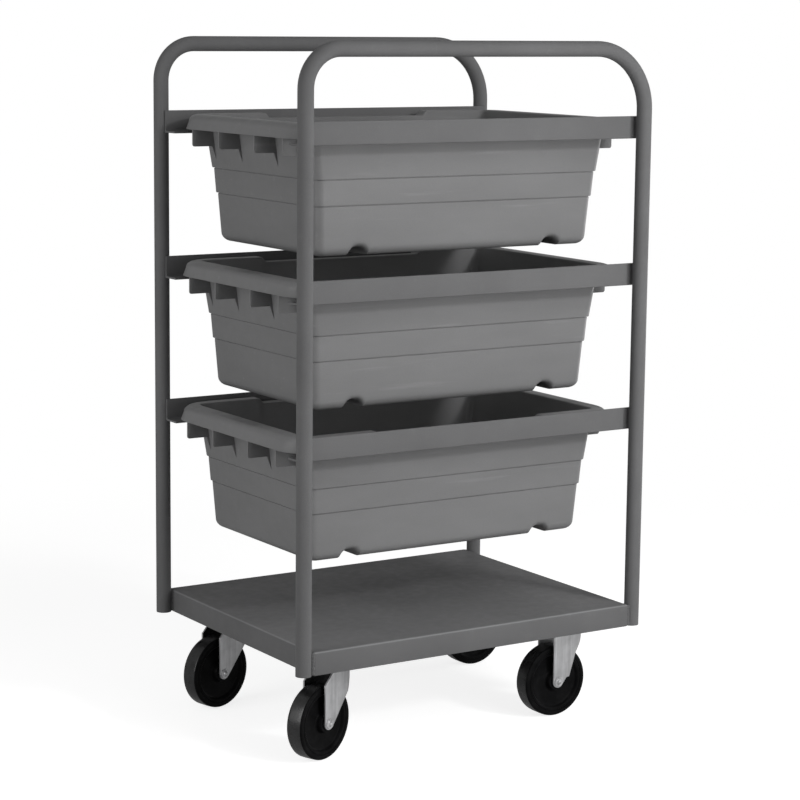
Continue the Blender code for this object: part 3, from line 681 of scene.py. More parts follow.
class CART_OT_finishes(bpy.types.Operator):
    """Makes the finishes and puts them on the carried-over pieces"""

    bl_idname = "cart.finishes"
    bl_label = "Finishes"

    def execute(self, context):
        colours = settings().finish
        for name, maker in FINISH_MAKERS.items():
            finishes[name] = maker(getattr(colours, name))
        # The deck's coat carries a painted highlight along its top fold
        deck_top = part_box("base_deck")[1].z
        finishes["deck"] = powder_coat(colours.paint, "deck_powder_coat", deck_top)
        for name, node in frame["nodes"].items():
            finish = next((FINISH_WORDS[word] for word in FINISH_WORDS if word in name), "paint")
            for place in node.material_slots:
                place.material = finishes[finish]
        return {"FINISHED"}


# ---- tube frames


class CART_OT_tube_frames(bpy.types.Operator):
    """Builds the two inverted-U tube frames"""

    bl_idname = "cart.tube_frames"
    bl_label = "Tube frames"

    def execute(self, context):
        sizes = settings().frame
        radius = sizes.tube_radius
        for side in SIDES:
            node = f"{side}_u_frame"
            low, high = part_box(node)
            left, right, top = low.x + radius, high.x - radius, high.z - radius
            route = bpy.data.curves.new(f"{side}_tube_route", "CURVE")
            route.dimensions = "3D"
            line = route.splines.new("POLY")
            corners = ((left, low.z), (left, top), (right, top), (right, low.z))
            line.points.add(len(corners) - 1)
            for point, (x, z) in zip(line.points, corners):
                point.co = (x, (low.y + high.y) / 2, z, 1.0)
            values = {
                "Left bend": sizes.left_bend,
                "Right bend": sizes.right_bend,
                "Tube radius": radius,
                "Finish": finishes["paint"],
            }
            thing = run_tree(add_object(f"{side}_tube_frame", route), tube_tree(), values)
            wall = thing.modifiers.new("wall", "SOLIDIFY")
            wall.thickness = sizes.tube_wall
            wall.offset = -1.0
            wall.use_even_offset = True
            finish_piece(settle(thing), "paint", "frame", [node])
        return {"FINISHED"}


# ---- angle rails


def rail_outline(leg, thickness, toe, root):
    """The angle's section, (inward, up) from its top outer edge."""
    heel = toe * 1.5
    points = [(0.0, -toe)]
    points += arc((heel, -leg + heel), heel, 180, 270, 4)
    points += arc((leg - toe, -leg + toe), toe, 270, 360, 3)
    points += arc((leg - toe, -leg + thickness - toe), toe, 0, 90, 3)
    points += arc((thickness + root, -leg + thickness + root), root, 270, 180, 5)
    points += arc((thickness - toe, -toe), toe, 0, 90, 3)
    return points + arc((toe, -toe), toe, 90, 150, 2)


class CART_OT_rails(bpy.types.Operator):
    """Builds the six angle rails"""

    bl_idname = "cart.rails"
    bl_label = "Angle rails"

    lengths = 8

    def execute(self, context):
        sizes = settings().frame
        for side, tier in product(SIDES, TIERS):
            node = f"{side}_{tier}_rail"
            low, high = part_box(node)
            inward = INWARD[side]
            face = low.y if inward > 0 else high.y
            leg = high.z - low.z
            outline = rail_outline(leg, sizes.rail_thickness, sizes.rail_toe, sizes.rail_root)
            loops = []
            for step in range(self.lengths + 1):
                x = low.x + (high.x - low.x) * step / self.lengths
                loops.append([Vector((x, face + inward * a, high.z + b)) for a, b in outline])
            finish_piece(lofted(f"{side}_{tier}_angle", loops), "paint", "frame", [node])
        return {"FINISHED"}


# ---- deck


class CART_OT_deck(bpy.types.Operator):
    """Builds the folded deck pan"""

    bl_idname = "cart.deck"
    bl_label = "Deck pan"

    corner = 0.004
    sharpest_corner = 0.0008

    def execute(self, context):
        sizes = settings().frame
        low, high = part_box("base_deck")
        sheet, bend, corner = sizes.deck_sheet, sizes.deck_bend, self.corner
        inner_bend = bend - sheet
        edge = sheet / 2 * 0.8
        # (distance inside the outer faces, corner radius, height) of each ring
        rows = []
        for x, z in arc((inner_bend, high.z - sheet - inner_bend), inner_bend, 90, 180, 4):
            rows.append((sheet + x, corner - sheet, z))
        rows.append((sheet, corner - sheet, low.z + edge))
        for x, z in arc((sheet / 2, low.z + edge), edge, 360, 180, 4):
            rows.append((x, corner - x, z))
        for x, z in arc((bend, high.z - bend), bend, 180, 90, 8):
            rows.append((x, max(corner - x, self.sharpest_corner), z))
        loops = [rounded_loop(high.x - inset, high.y - inset, turn, z) for inset, turn, z in rows]
        finish_piece(lofted("deck_pan", loops), "deck", "frame", ["base_deck"])
        return {"FINISHED"}


# ---- weld beads


def bead_paths():
    """The grooves that carry a weld: (rails to posts, deck corners to posts)."""
    # Where the beads lie: round the tube and into its wall beside a rail, off the tube and to
    # both sides of its middle at the deck, and how far they stop short of rail and deck
    round_tube, into_wall, off_tube, beside_middle = 0.58, 0.0017, 0.0004, 0.0062
    rail_end, deck_bottom, deck_top = 0.002, 0.003, 0.0036
    radius = settings().frame.tube_radius
    deck_low, deck_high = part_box("base_deck")
    rails, corners = [], []
    for side in SIDES:
        low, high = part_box(f"{side}_u_frame")
        y = (low.y + high.y) / 2
        for post_x, to_middle in ((low.x + radius, 1), (high.x - radius, -1)):
            x = post_x + to_middle * radius * round_tube
            depth = y + INWARD[side] * (radius - into_wall)
            for tier in TIERS:
                rail_low, rail_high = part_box(f"{side}_{tier}_rail")
                ends = (rail_low.z + rail_end, rail_high.z - rail_end)
                rails.append([(x, depth, z) for z in ends])
            x = post_x + to_middle * (radius + off_tube)
            ends = (deck_low.z + deck_bottom, deck_high.z - deck_top)
            for across in (y - beside_middle, y + beside_middle):
                corners.append([(x, across, z) for z in ends])
    return rails, corners


class CART_OT_welds(bpy.types.Operator):
    """Lays the weld beads along the joints of the frame"""

    bl_idname = "cart.welds"
    bl_label = "Weld beads"

    ripple_flatness = 0.62
    corner_stretch = 1.4

    def execute(self, context):
        sizes = settings().frame
        rails, corners = bead_paths()
        self.beads("rail_welds", rails, sizes.bead_radius, sizes.bead_pitch)
        pitch = sizes.bead_pitch * self.corner_stretch
        self.beads("deck_welds", corners, sizes.corner_bead, pitch)
        return {"FINISHED"}

    def beads(self, name, paths, radius, pitch):
        bm = bmesh.new()
        bmesh.ops.create_uvsphere(bm, u_segments=8, v_segments=5, radius=radius)
        bmesh.ops.scale(bm, vec=(1.0, 1.0, self.ripple_flatness), verts=bm.verts)
        ripple = mesh_object("weld_ripple", bm)
        points = [point for path in paths for point in path]
        mesh = bpy.data.meshes.new(name)
        mesh.from_pydata(points, [(start, start + 1) for start in range(0, len(points), 2)], [])
        values = {"Ripple": ripple, "Pitch": pitch, "Finish": finishes["paint"]}
        thing = run_tree(add_object(name, mesh), bead_tree(), values)
        drop(ripple)
        finish_piece(thing, "paint", "frame")


# ---- tubs


class TubShape:
    """The rings of one tub, about its own middle and above its own base."""

    corner_steps = 8
    sharpest_corner = 0.003
    # Half the dipped length of the long rims, the run of the slope that ends it, the rounding of
    # the rim's top edge and how far the rim leans in
    ramp_half = 0.157
    ramp_run = 0.012
    roll = 0.012
    flare = 0.004
    # Where the notches fade out towards the middle of the base, the height under which rings
    # follow them, and the height over which they lift a ring
    notch_fade = (0.058, 0.080)
    notch_top = 0.0315
    notch_reach = 0.032
    # (height, step above, groove) of the rings of a ledge, as shares of a step
    ledge = (
        (-0.80, 1.0, 0.0),
        (-0.55, 1.0, 0.38),
        (0.0, 1.0, 0.38),
        (0.10, 0.25, 0.0),
        (0.30, 0.06, 0.0),
        (0.75, 0.0, 0.0),
    )
    base_rings = (0.086, 0.080, 0.075, 0.070, 0.065, 0.060, 0.050, 0.038, 0.026, 0.018)
    fin_height = 0.024

    def __init__(self, size):
        self.size = settings().tub
        self.height = size.z
        self.rim_x = size.x / 2 + self.size.rim_reach
        self.rim_y = size.y / 2
        self.web = self.height - self.size.wall
        self.lip_bottom = self.height - self.size.lip
        self.body_x = self.rim_x - self.size.overhang
        self.body_y = self.size.body_width / 2
        self.stations = self.side_stations()

    def side_stations(self):
        """Where the long sides have points, from +X to -X."""
        places = {0.0, 0.05, 0.10, 0.14, 0.235, 0.25}
        for step in range(9):
            places.add(self.ramp_half - 0.002 + (self.ramp_run + 0.004) * step / 8)
        span = self.size.notch_width * 1.25
        for step in range(-10, 11):
            places.add(self.size.notch_place + span * step / 10)
        ordered = sorted(places, reverse=True)
        return ordered + [-x for x in reversed(ordered) if x > 0]

    def lowered(self, x):
        """1 where the long rims dip, 0 towards their ends."""
        return 1 - smooth_step(self.ramp_half, self.ramp_half + self.ramp_run, abs(x))

    def notch(self, x, inset, grown):
        """Height of the arched notch at x, at a distance inside the wall."""
        width = self.size.notch_width + grown
        off = abs(abs(x) - self.size.notch_place) / width
        if off >= 1:
            return 0.0
        return self.size.notch_height * (1 - off**2.6) * (1 - smooth_step(*self.notch_fade, inset))

    def loop(self, half_x, half_y, corner, z, dip=0.0, inset=None, grown=0.0):
        """One ring; its long sides are lowered by dip, and inset lifts it over the notches."""
        corner = max(corner, self.sharpest_corner)
        corners = []
        for quarter in range(4):
            corners.append(corner_points(half_x, half_y, corner, z, quarter, self.corner_steps))
        heights = []
        for x in self.stations:
            height = z - dip * self.lowered(x)
            if inset is not None:
                lift = self.notch(x, inset, grown)
                height = lift + height * (1 - lift / self.notch_reach)
            heights.append((x, height))
        far = [Vector((x, half_y, height)) for x, height in heights]
        near = [Vector((x, -half_y, height)) for x, height in reversed(heights)]
        return corners[0] + far + corners[1] + corners[2] + near + corners[3]

    def body(self, z, inset=0.0, steps_above=0.0, dip=0.0, grown=0.0):
        """A ring of the body, inset from its outer wall; low rings follow the notches."""
        drawn_in = self.size.step * steps_above + inset
        half_x = self.wall_x(z) - drawn_in
        half_y = self.body_y - self.size.side_draft * (self.web - z) - drawn_in
        corner = self.size.body_corner - inset / 2
        lifted = max(inset - grown, 0.0) if z < self.notch_top else None
        return self.loop(half_x, half_y, corner, z, dip, lifted, grown)

    def wall_bands(self, inset):
        """The body from above the base's rounding to under the rim, with its two steps."""
        loops = [self.body(z, inset, 2, grown=inset) for z in (0.020, 0.031)]
        for height, above in ((self.size.low_step, 1), (self.size.high_step, 0)):
            for up, step, groove in self.ledge:
                steps = above + (step + groove if inset == 0 else step)
                loops.append(self.body(height + up * self.size.step, inset, steps))
        return loops

    def base(self, inset):
        """The base from its middle outwards, with the rounding up into the wall."""
        radius = self.size.base_radius - inset
        rows = [(inset, inset + reach) for reach in self.base_rings]
        for rise, run in quarter_turn(6):
            rows.append((inset + radius * rise, inset + radius * (1 - run)))
        return [self.body(z, inward, 2, grown=inset) for z, inward in rows]

    def rim(self, z, inset, dip=None):
        """A ring of the rim, dipped like its top unless another dip is given."""
        corner = self.size.rim_corner - inset / 2
        dip = self.size.dip if dip is None else dip
        return self.loop(self.rim_x - inset, self.rim_y - inset, corner, z, dip)

    def rolled(self, wall):
        """The rim's outer face from its lower edge up, or its inner face, a wall inside it."""
        rise = self.size.end_lip_rise
        end_bottom = self.lip_bottom + rise
        roll_z = self.height - self.roll
        loops = [self.rim(end_bottom + 0.0006, wall, rise)]
        for t in (0.25, 0.50, 0.75):
            z = end_bottom + (roll_z - end_bottom) * t
            loops.append(self.rim(z, wall + self.flare * t, rise + (self.size.dip - rise) * t))
        reach = self.roll - wall
        for inward, up in quarter_turn(7):
            loops.append(self.rim(roll_z + reach * up, wall + self.flare + reach * inward))
        return loops

    def loops(self):
        """Every ring from the middle of the base, up outside, over the rim and down inside."""
        wall, dip, rise = self.size.wall, self.size.dip, self.size.end_lip_rise
        web = [self.body(self.web - 0.004, 0.0, 0, dip), self.body(self.web, -0.0012, 0, dip)]
        edge = [self.rim(self.lip_bottom + rise, wall * inward, rise) for inward in (0.7, 0.3)]
        mouth = []
        for down, inward in quarter_turn(5):
            mouth.append(self.body(self.height - wall * down, wall * inward, 0, dip))
        outside = self.base(0.0) + self.wall_bands(0.0) + web + self.rolled(wall)[::-1] + edge
        inside = mouth + self.wall_bands(wall)[::-1] + self.base(wall)[::-1]
        return outside + self.rolled(0.0) + inside

    def wall_x(self, z):
        """The outer face of an end wall, flared above the upper step."""
        flared = self.web - max(z, self.size.high_step)
        drafted = max(self.size.high_step - z, 0.0)
        return self.body_x - self.size.end_flare * flared - self.size.end_draft * drafted

    def rib(self):
        """The outline of a rib at the +X end, (x, z)."""
        lap, rounding = 0.0015, 0.004
        low = self.lip_bottom - self.size.rib_drop
        outer = self.rim_x - lap * 0.2
        centre = (self.rim_x - self.flare - self.roll, self.height - self.roll)
        points = [(self.wall_x(low) - lap, low)]
        points += arc((outer - rounding, low + rounding), rounding, 270, 360, 4)
        points.append((outer, self.lip_bottom + self.size.end_lip_rise))
        points += arc(centre, self.roll - lap, 0, 90, 5)
        return points + [(self.wall_x(self.web) - lap, self.web + lap)]

    def fin(self):
        """The outline of the tapered fin that runs down the wall below a rib."""
        top = self.lip_bottom - self.size.rib_drop + 0.001
        bottom = top - self.fin_height
        lap = 0.0012
        corners = ((bottom, -lap), (bottom, 0.0002), (top, 0.0055), (top, -lap))
        return [(self.wall_x(z) + out, z) for z, out in corners]


def upright_plate(name, outline, thickness, rounding):
    """A soft-edged plate in the XZ plane with its middle at Y = 0."""
    faces = [[Vector((x, y, z)) for x, z in outline] for y in (-thickness / 2, thickness / 2)]
    return soften(lofted(name, faces), rounding)


class CART_OT_tubs(bpy.types.Operator):
    """Builds the three stepped tubs with their ribs"""

    bl_idname = "cart.tubs"
    bl_label = "Tubs"

    rib_places = (-0.154, -0.0605, 0.0605, 0.154)

    def execute(self, context):
        places = [(0.0, y, 0.0, turn) for turn in (0.0, math.pi) for y in self.rib_places]
        for tier in TIERS:
            node = f"{tier}_tub"
            low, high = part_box(node)
            shape = TubShape(high - low)
            thickness = shape.size.rib_thickness
            rib = upright_plate("rib", shape.rib(), thickness, 0.0006)
            fin = upright_plate("fin", shape.fin(), thickness * 0.8, 0.0005)
            parts = (
                lofted(f"{tier}_tub_shell", shape.loops()),
                repeat(f"{tier}_tub_ribs", rib, places, "plastic"),
                repeat(f"{tier}_tub_fins", fin, places, "plastic"),
            )
            place = Matrix.Translation(((low.x + high.x) / 2, 0, low.z))
            thing = joined(f"{tier}_tub_moulding", parts, place)
            finish_piece(thing, "plastic", node, [node])
        return {"FINISHED"}


# ---- casters


class CasterPlace:
    """Where one caster stands and how it is turned, from the frame's joints."""

    def __init__(self, kind, side):
        self.kind, self.side = kind, side
        self.wheel = Vector(JOINTS[f"{side}_{kind}_wheel_spin"]["pos_m"])
        if kind == "swivel":
            middle = Vector(JOINTS[f"{side}_swivel"]["pos_m"])
            self.fork_body = f"swivel_fork_{side}"
        else:
            middle = box_middle(f"rigid_fork_{side}")
            self.fork_body = "frame"
        reach = Vector((self.wheel.x - middle.x, self.wheel.y - middle.y, 0))
        self.trail = reach.length
        turn = Matrix.Rotation(math.atan2(-reach.y, -reach.x), 4, "Z")
        self.place = Matrix.Translation((middle.x, middle.y, 0)) @ turn
        lying = Matrix.Rotation(math.pi / 2, 4, "X")
        self.axle_place = Matrix.Translation(self.wheel) @ turn @ lying

    def node(self, part):
        return f"{self.kind}_{part}_{self.side}"

    def piece(self, part):
        return f"{self.kind}_{self.side}_{part}"


def all_casters():
    return [CasterPlace(kind, side) for kind in ("swivel", "rigid") for side in SIDES]


def wheel_side(radius, half_tread, hub):
    """One face of a wheel, (radius, height) points from the bore to the tread."""
    bore, half_hub, half_web = 0.0085, 0.019, 0.0100
    rim = radius - 0.0150
    side = [(bore, half_hub - 0.0008), (bore + 0.0008, half_hub)]
    side += [(hub - 0.0022, half_hub), (hub - 0.0014, half_hub - 0.0005)]
    side += arc((hub + 0.0045, half_web + 0.0035), 0.0035, 180, 270, 5)
    side += [(hub + 0.0120, half_web - 0.0006), (rim - 0.0100, half_web - 0.0008)]
    side += arc((rim - 0.0040, half_web + 0.0030), 0.0032, 270, 340, 4)
    side += [(rim + 0.0004, half_tread - 0.0016), (rim + 0.0016, half_tread - 0.0006)]
    side += [(rim + 0.0048, half_tread - 0.0004), (rim + 0.0054, half_tread - 0.0012)]
    side += [(rim + 0.0062, half_tread - 0.0012), (rim + 0.0068, half_tread - 0.0002)]
    side += [(radius - 0.0048, half_tread)]
    side += arc((radius - 0.0040, half_tread - 0.0040), 0.0040, 84, 20, 5)
    return side + [(radius - 0.00012, half_tread - 0.0060), (radius, half_tread - 0.0090)]


class CART_OT_wheels(bpy.types.Operator):
    """Builds the four moulded wheels"""

    bl_idname = "cart.wheels"
    bl_label = "Wheels"

    # How far the worn tread stays inside the wheel's sides, and how deep it goes
    tread_margin = 0.0026
    tread_depth = 0.0035

    def execute(self, context):
        sizes = settings().caster
        half_tread = sizes.tread_width / 2
        for caster in all_casters():
            radius = caster.wheel.z
            side = wheel_side(radius, half_tread, sizes.hub_radius)
            bm = bmesh.new()
            loft(bm, rings(side + [(r, -z) for r, z in reversed(side)], 96), closed=True)
            for face in bm.faces:
                middle = face.calc_center_median()
                across = abs(middle.z) < half_tread - self.tread_margin
                outside = middle.xy.length > radius - self.tread_depth
                face.material_index = int(across and outside)
            thing = mesh_object(caster.piece("moulded_wheel"), bm, caster.axle_place)
            node = caster.node("wheel")
            finish_piece(thing, "rubber", node, [node], second="tread")
        return {"FINISHED"}


def between_points(points, value):
    """The second number of a list of (first, second) points where the first is value."""
    for (low, before), (high, after) in zip(points, points[1:]):
        if value <= high:
            return before + (after - before) * max(value - low, 0.0) / max(high - low, 1e-9)
    return points[-1][1]


def leg_edges(axle_x, axle_z, foot, top, chamfer, reach, waist, shoulder):
    """(z, left x, right x) of a fork leg, from its foot to its top; waist is (x, drop), and the
    shoulder's points are from the axle.
    """
    waist_x, waist_drop = waist
    # The waist widens to the reach over this share of its drop
    widening, steps = 0.6, 8
    right = []
    for degrees in range(7, 50, 7):
        turn = math.radians(degrees)
        right.append((axle_z - foot * math.cos(turn), axle_x + foot * math.sin(turn)))
    right += [(axle_z + up, axle_x + out) for out, up in shoulder]
    right.append((top - waist_drop, waist_x))
    for step, (_, out) in enumerate(quarter_turn(steps)[1:], start=1):
        z = top - waist_drop * (1 - widening * step / steps)
        right.append((z, waist_x + (reach - waist_x) * out))
    right.append((top, reach))
    levels = {z for z, _ in right} | {top - chamfer * step / 4 for step in range(5)}
    levels |= {axle_z - foot * math.cos(math.radians(7.5 * step)) for step in range(1, 13)}
    rows = []
    for z in sorted(levels):
        half = math.sqrt(max(foot**2 - max(axle_z - z, 0.0) ** 2, 0.0))
        left = axle_x - half + max(z - (top - chamfer), 0.0)
        rows.append((z, left, between_points(right, z)))
    narrowest = 0.001
    return [row for row in rows if row[2] - row[1] > narrowest]


# Where a leg folds at the latest, as a share of its width
LATEST_FOLD = 0.82


def folded(rows, side, inner_y, sheet, crease_x, wing_slope):
    """A leg's loops from its rows; right of the crease its wing leans in towards the wheel."""
    loops = []
    for z, left, right in rows:
        fold_from = min(crease_x, left + (right - left) * LATEST_FOLD)
        outer, inner = [], []
        for x in (left, (left + fold_from) / 2, fold_from, (fold_from + right) / 2, right):
            lean = max(x - fold_from, 0.0) * wing_slope
            outer.append(Vector((x, side * (inner_y + sheet - lean), z)))
            inner.append(Vector((x, side * (inner_y - lean), z)))
        loops.append(outer + inner[::-1])
    return loops


class CART_OT_forks(bpy.types.Operator):
    """Builds the swivel and rigid forks from folded sheet"""

    bl_idname = "cart.forks"
    bl_label = "Forks"

    # Chamfer, reach of the top, waist and shoulder of a leg
    shapes = {
        "swivel": (0.020, 0.0190, (0.0145, 0.042), ()),
        "rigid": (0.0, 0.016, (0.0045, 0.047), ((0.0180, 0.0060), (0.0242, 0.0066))),
    }
    wing_slopes = {"swivel": 0.14, "rigid": 0.12}
    crease = 0.0125
    lap = 0.0006
    softening = 0.0005
    plate_sheet = 0.003
    plate_corner = 0.006
    pad_sheet = 0.0014
    pad_foot = 0.0065

    def execute(self, context):
        for caster in all_casters():
            build = self.swivel_fork if caster.kind == "swivel" else self.rigid_fork
            build(caster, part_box(caster.node("fork")))
        return {"FINISHED"}

    def edges(self, caster, top):
        """The rows of a caster's leg."""
        foot = settings().caster.foot_radius
        return leg_edges(-caster.trail, caster.wheel.z, foot, top, *self.shapes[caster.kind])

    def folds(self, caster):
        """Where the legs fold and how far their wings lean."""
        return self.crease - caster.trail, self.wing_slopes[caster.kind]

    def legs(self, caster, top):
        """Both legs, with a second finish marked on the faces towards the wheel, as painted shade.
        """
        sizes = settings().caster
        rows = self.edges(caster, top)
        parts = []
        for side in (-1, 1):
            bm = bmesh.new()
            inner = sizes.fork_inside / 2
            loft(bm, folded(rows, side, inner, sizes.fork_sheet, *self.folds(caster)))
            bmesh.ops.recalc_face_normals(bm, faces=bm.faces)
            # Painted shade: the faces towards the wheel, which lie in the deck's shadow, take the
            # dark greased coat
            for face in bm.faces:
                face.material_index = int(face.normal.y * side < -0.7)
            parts.append(soften(mesh_object("leg", bm, caster.place), self.softening))
        return parts

    def swivel_fork(self, caster, box):
        top = box[1].z
        sizes = settings().caster
        bottom, radius = top - sizes.fork_sheet, sizes.crown_radius
        bore, bend = 0.0060, 0.0022
        profile = [(bore, bottom), (radius - bend, bottom)]
        profile += arc((radius - bend, bottom + bend), bend, 270, 360, 4)
        profile += [(radius, top - 0.0004), (radius - 0.0004, top)]
        profile += [(radius - 0.0030, top), (radius - 0.0046, top - 0.0011)]
        profile += [(radius - 0.0104, top - 0.0011), (radius - 0.0120, top), (bore, top)]
        name = f"{caster.side}_swivel_fork_crown"
        crown = lofted(name, rings(profile, 64), True, caster.place)
        # The crown takes the dark greased coat, which here also paints the shade under the deck
        finish_piece(crown, "greased", caster.fork_body)
        thing = joined(f"{caster.side}_swivel_fork_sheet", self.legs(caster, top - self.lap))
        # The legs' faces towards the wheel take the dark greased coat as painted shade
        finish_piece(thing, "zinc", caster.fork_body, [caster.node("fork")], second="greased")

    def rigid_fork(self, caster, box):
        sizes = settings().caster
        low, high = box
        plate_low = high.z - self.plate_sheet
        half_x, half_y = (high.x - low.x) / 2, (high.y - low.y) / 2
        levels = (plate_low, high.z)
        sheet = [rounded_loop(half_x, half_y, self.plate_corner, z) for z in levels]
        plate = lofted("plate", sheet, False, caster.place)
        cuts = bmesh.new()
        for number in range(1, 5):
            hole = box_middle(f"rigid_bolt_{caster.side}_{number}")
            radius = sizes.bolt_radius + BORE_GAP
            loft(cuts, [ring(radius, z, 24, hole) for z in (low.z, high.z + self.plate_sheet)])
        cutter = mesh_object("plate_holes", cuts)
        hollow = plate.modifiers.new("holes", "BOOLEAN")
        hollow.object = cutter
        hollow.solver = "EXACT"
        parts = self.legs(caster, plate_low + self.lap)
        parts += [soften(settle(plate), self.softening), *self.pads(caster, plate_low)]
        drop(cutter)
        thing = joined(f"{caster.side}_rigid_fork_sheet", parts)
        finish_piece(thing, "zinc", caster.fork_body, [caster.node("fork")])

    def pads(self, caster, top):
        """The doubled panel on the outside of each rigid leg, ending in a step."""
        sizes = settings().caster
        rows = []
        for z, left, right in self.edges(caster, top):
            if z > caster.wheel.z + self.pad_foot:
                rows.append((z, left + 0.0014, right - 0.0006))
        inner = sizes.fork_inside / 2 + sizes.fork_sheet - 0.0004
        parts = []
        for side in (-1, 1):
            loops = folded(rows, side, inner, self.pad_sheet, *self.folds(caster))
            parts.append(soften(lofted("pad", loops, False, caster.place), 0.0004))
        return parts


class CART_OT_bearings(bpy.types.Operator):
    """Builds the swivel bearings: race cup, balls in their cage, kingpin and nut"""

    bl_idname = "cart.bearings"
    bl_label = "Swivel bearings"

    ball_count = 12
    ball_circle = 0.0235
    pin_radius = 0.0055
    pin_nut_radius = 0.0105

    def execute(self, context):
        for side in SIDES:
            centre = box_middle(f"swivel_race_{side}").xy
            place = Matrix.Translation((*centre, 0))
            self.race(side, place)
            self.balls(side, centre)
            self.kingpin(side, place)
        return {"FINISHED"}

    def race(self, side, place):
        node = f"swivel_race_{side}"
        low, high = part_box(node)
        radius = (high.x - low.x) / 2
        bore, bend, sheet = 0.0120, 0.0024, 0.0025
        profile = [(bore, high.z), (radius - bend, high.z)]
        profile += arc((radius - bend, high.z - bend), bend, 90, 0, 4)
        profile += [(radius, low.z + 0.0003), (radius - 0.0003, low.z), (radius - 0.0020, low.z)]
        profile += arc((radius - 0.0034, high.z - 0.0040), 0.0014, 0, 90, 3)
        profile += [(radius - 0.0050, high.z - sheet), (bore, high.z - sheet)]
        thing = lofted(f"{side}_race_cup", rings(profile, 64), True, place)
        finish_piece(thing, "greased", "frame", [node])

    def balls(self, side, centre):
        node = f"swivel_ball_ring_{side}"
        low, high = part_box(node)
        level = (low.z + high.z) / 2
        bm = bmesh.new()
        bmesh.ops.create_icosphere(bm, subdivisions=2, radius=(high.z - low.z) / 2)
        spots = ring(self.ball_circle, level, self.ball_count, centre)
        places = [(*spot, 0.0) for spot in spots]
        balls = repeat("balls", mesh_object("ball", bm), places, "steel")
        half_width, half_sheet = 0.0014, 0.0006
        inner, outer = self.ball_circle - half_width, self.ball_circle + half_width
        section = [(inner, -half_sheet), (outer, -half_sheet), (outer, half_sheet)]
        bm = bmesh.new()
        loft(bm, rings(section + [(inner, half_sheet)], 64), closed=True)
        bm.transform(Matrix.Translation((*centre, level)))
        bm.from_mesh(balls.data)
        drop(balls)
        thing = mesh_object(f"{side}_ball_race", bm)
        finish_piece(thing, "steel", f"swivel_fork_{side}", [node])

    def kingpin(self, side, place):
        low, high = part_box(f"swivel_kingpin_{side}")
        crown_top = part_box(f"swivel_fork_{side}")[1].z
        race_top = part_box(f"swivel_race_{side}")[1].z
        radius, collar = self.pin_radius, 0.0100
        profile = [(radius, high.z), (radius, race_top), (collar, race_top)]
        profile += [(collar, crown_top + GAP), (radius, crown_top + GAP)]
        profile += thread(radius, crown_top - 0.0032, low.z + 0.0012)
        profile += [(radius - 0.0011, low.z)]
        thing = lofted(f"{side}_kingpin", rings(profile, 40), False, place)
        finish_piece(thing, "zinc", "frame", [f"swivel_kingpin_{side}"])
        node = f"swivel_kingpin_nut_{side}"
        low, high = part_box(node)
        nut = hex_nut(self.pin_nut_radius, radius + BORE_GAP, low.z, high.z)
        finish_piece(lofted(f"{side}_kingpin_locknut", nut, True, place), "zinc", "frame", [node])


# ---- fasteners

ROUND_SIDES = 36
HALF_FLAT = math.pi / 6
# How far a hexagon's corners and its bearing face reach, as shares of corner and flat
CORNER_SHARE = 0.985
FACE_SHARE = 0.98


def thread(radius, start, end):
    """A screwed length as ridges, (radius, height) points from start to end."""
    pitch, depth = 0.00125, 0.0007
    count = max(int(abs(end - start) / pitch), 1)
    half = (end - start) / count / 2
    points = []
    for index in range(count):
        z = start + (end - start) * index / count
        points += [(radius, z), (radius - depth, z + half)]
    return points + [(radius, end)]


def hex_loop(radius, z):
    """A hexagon with extra points along its flats and its corners turned off."""
    points = []
    for index in range(ROUND_SIDES):
        turn = 2 * math.pi * index / ROUND_SIDES
        off = (turn + HALF_FLAT) % (2 * HALF_FLAT) - HALF_FLAT
        reach = radius * math.cos(HALF_FLAT) / math.cos(HALF_FLAT - abs(off))
        reach = min(reach, radius * CORNER_SHARE)
        points.append(Vector((reach * math.cos(turn), reach * math.sin(turn), z)))
    return points


def hex_nut(radius, bore, low, high):
    """The loops of a chamfered nut with a bore, closed on themselves."""
    flat = radius * math.cos(HALF_FLAT)
    chamfer = (radius - flat) * 0.6 * 0.6
    return [
        ring(bore, low, ROUND_SIDES),
        ring(flat * FACE_SHARE, low, ROUND_SIDES),
        hex_loop(radius, low + chamfer),
        hex_loop(radius, high - chamfer),
        ring(flat * FACE_SHARE, high, ROUND_SIDES),
        ring(bore, high, ROUND_SIDES),
    ]


def hex_head(radius, low, high):
    """The loops of a chamfered head, from its shank side to its crown."""
    flat = radius * math.cos(HALF_FLAT)
    return [
        ring(flat * FACE_SHARE, low, ROUND_SIDES),
        hex_loop(radius, low + 0.0004),
        hex_loop(radius, high - 0.0008),
        ring(flat * 0.96, high, ROUND_SIDES),
    ]


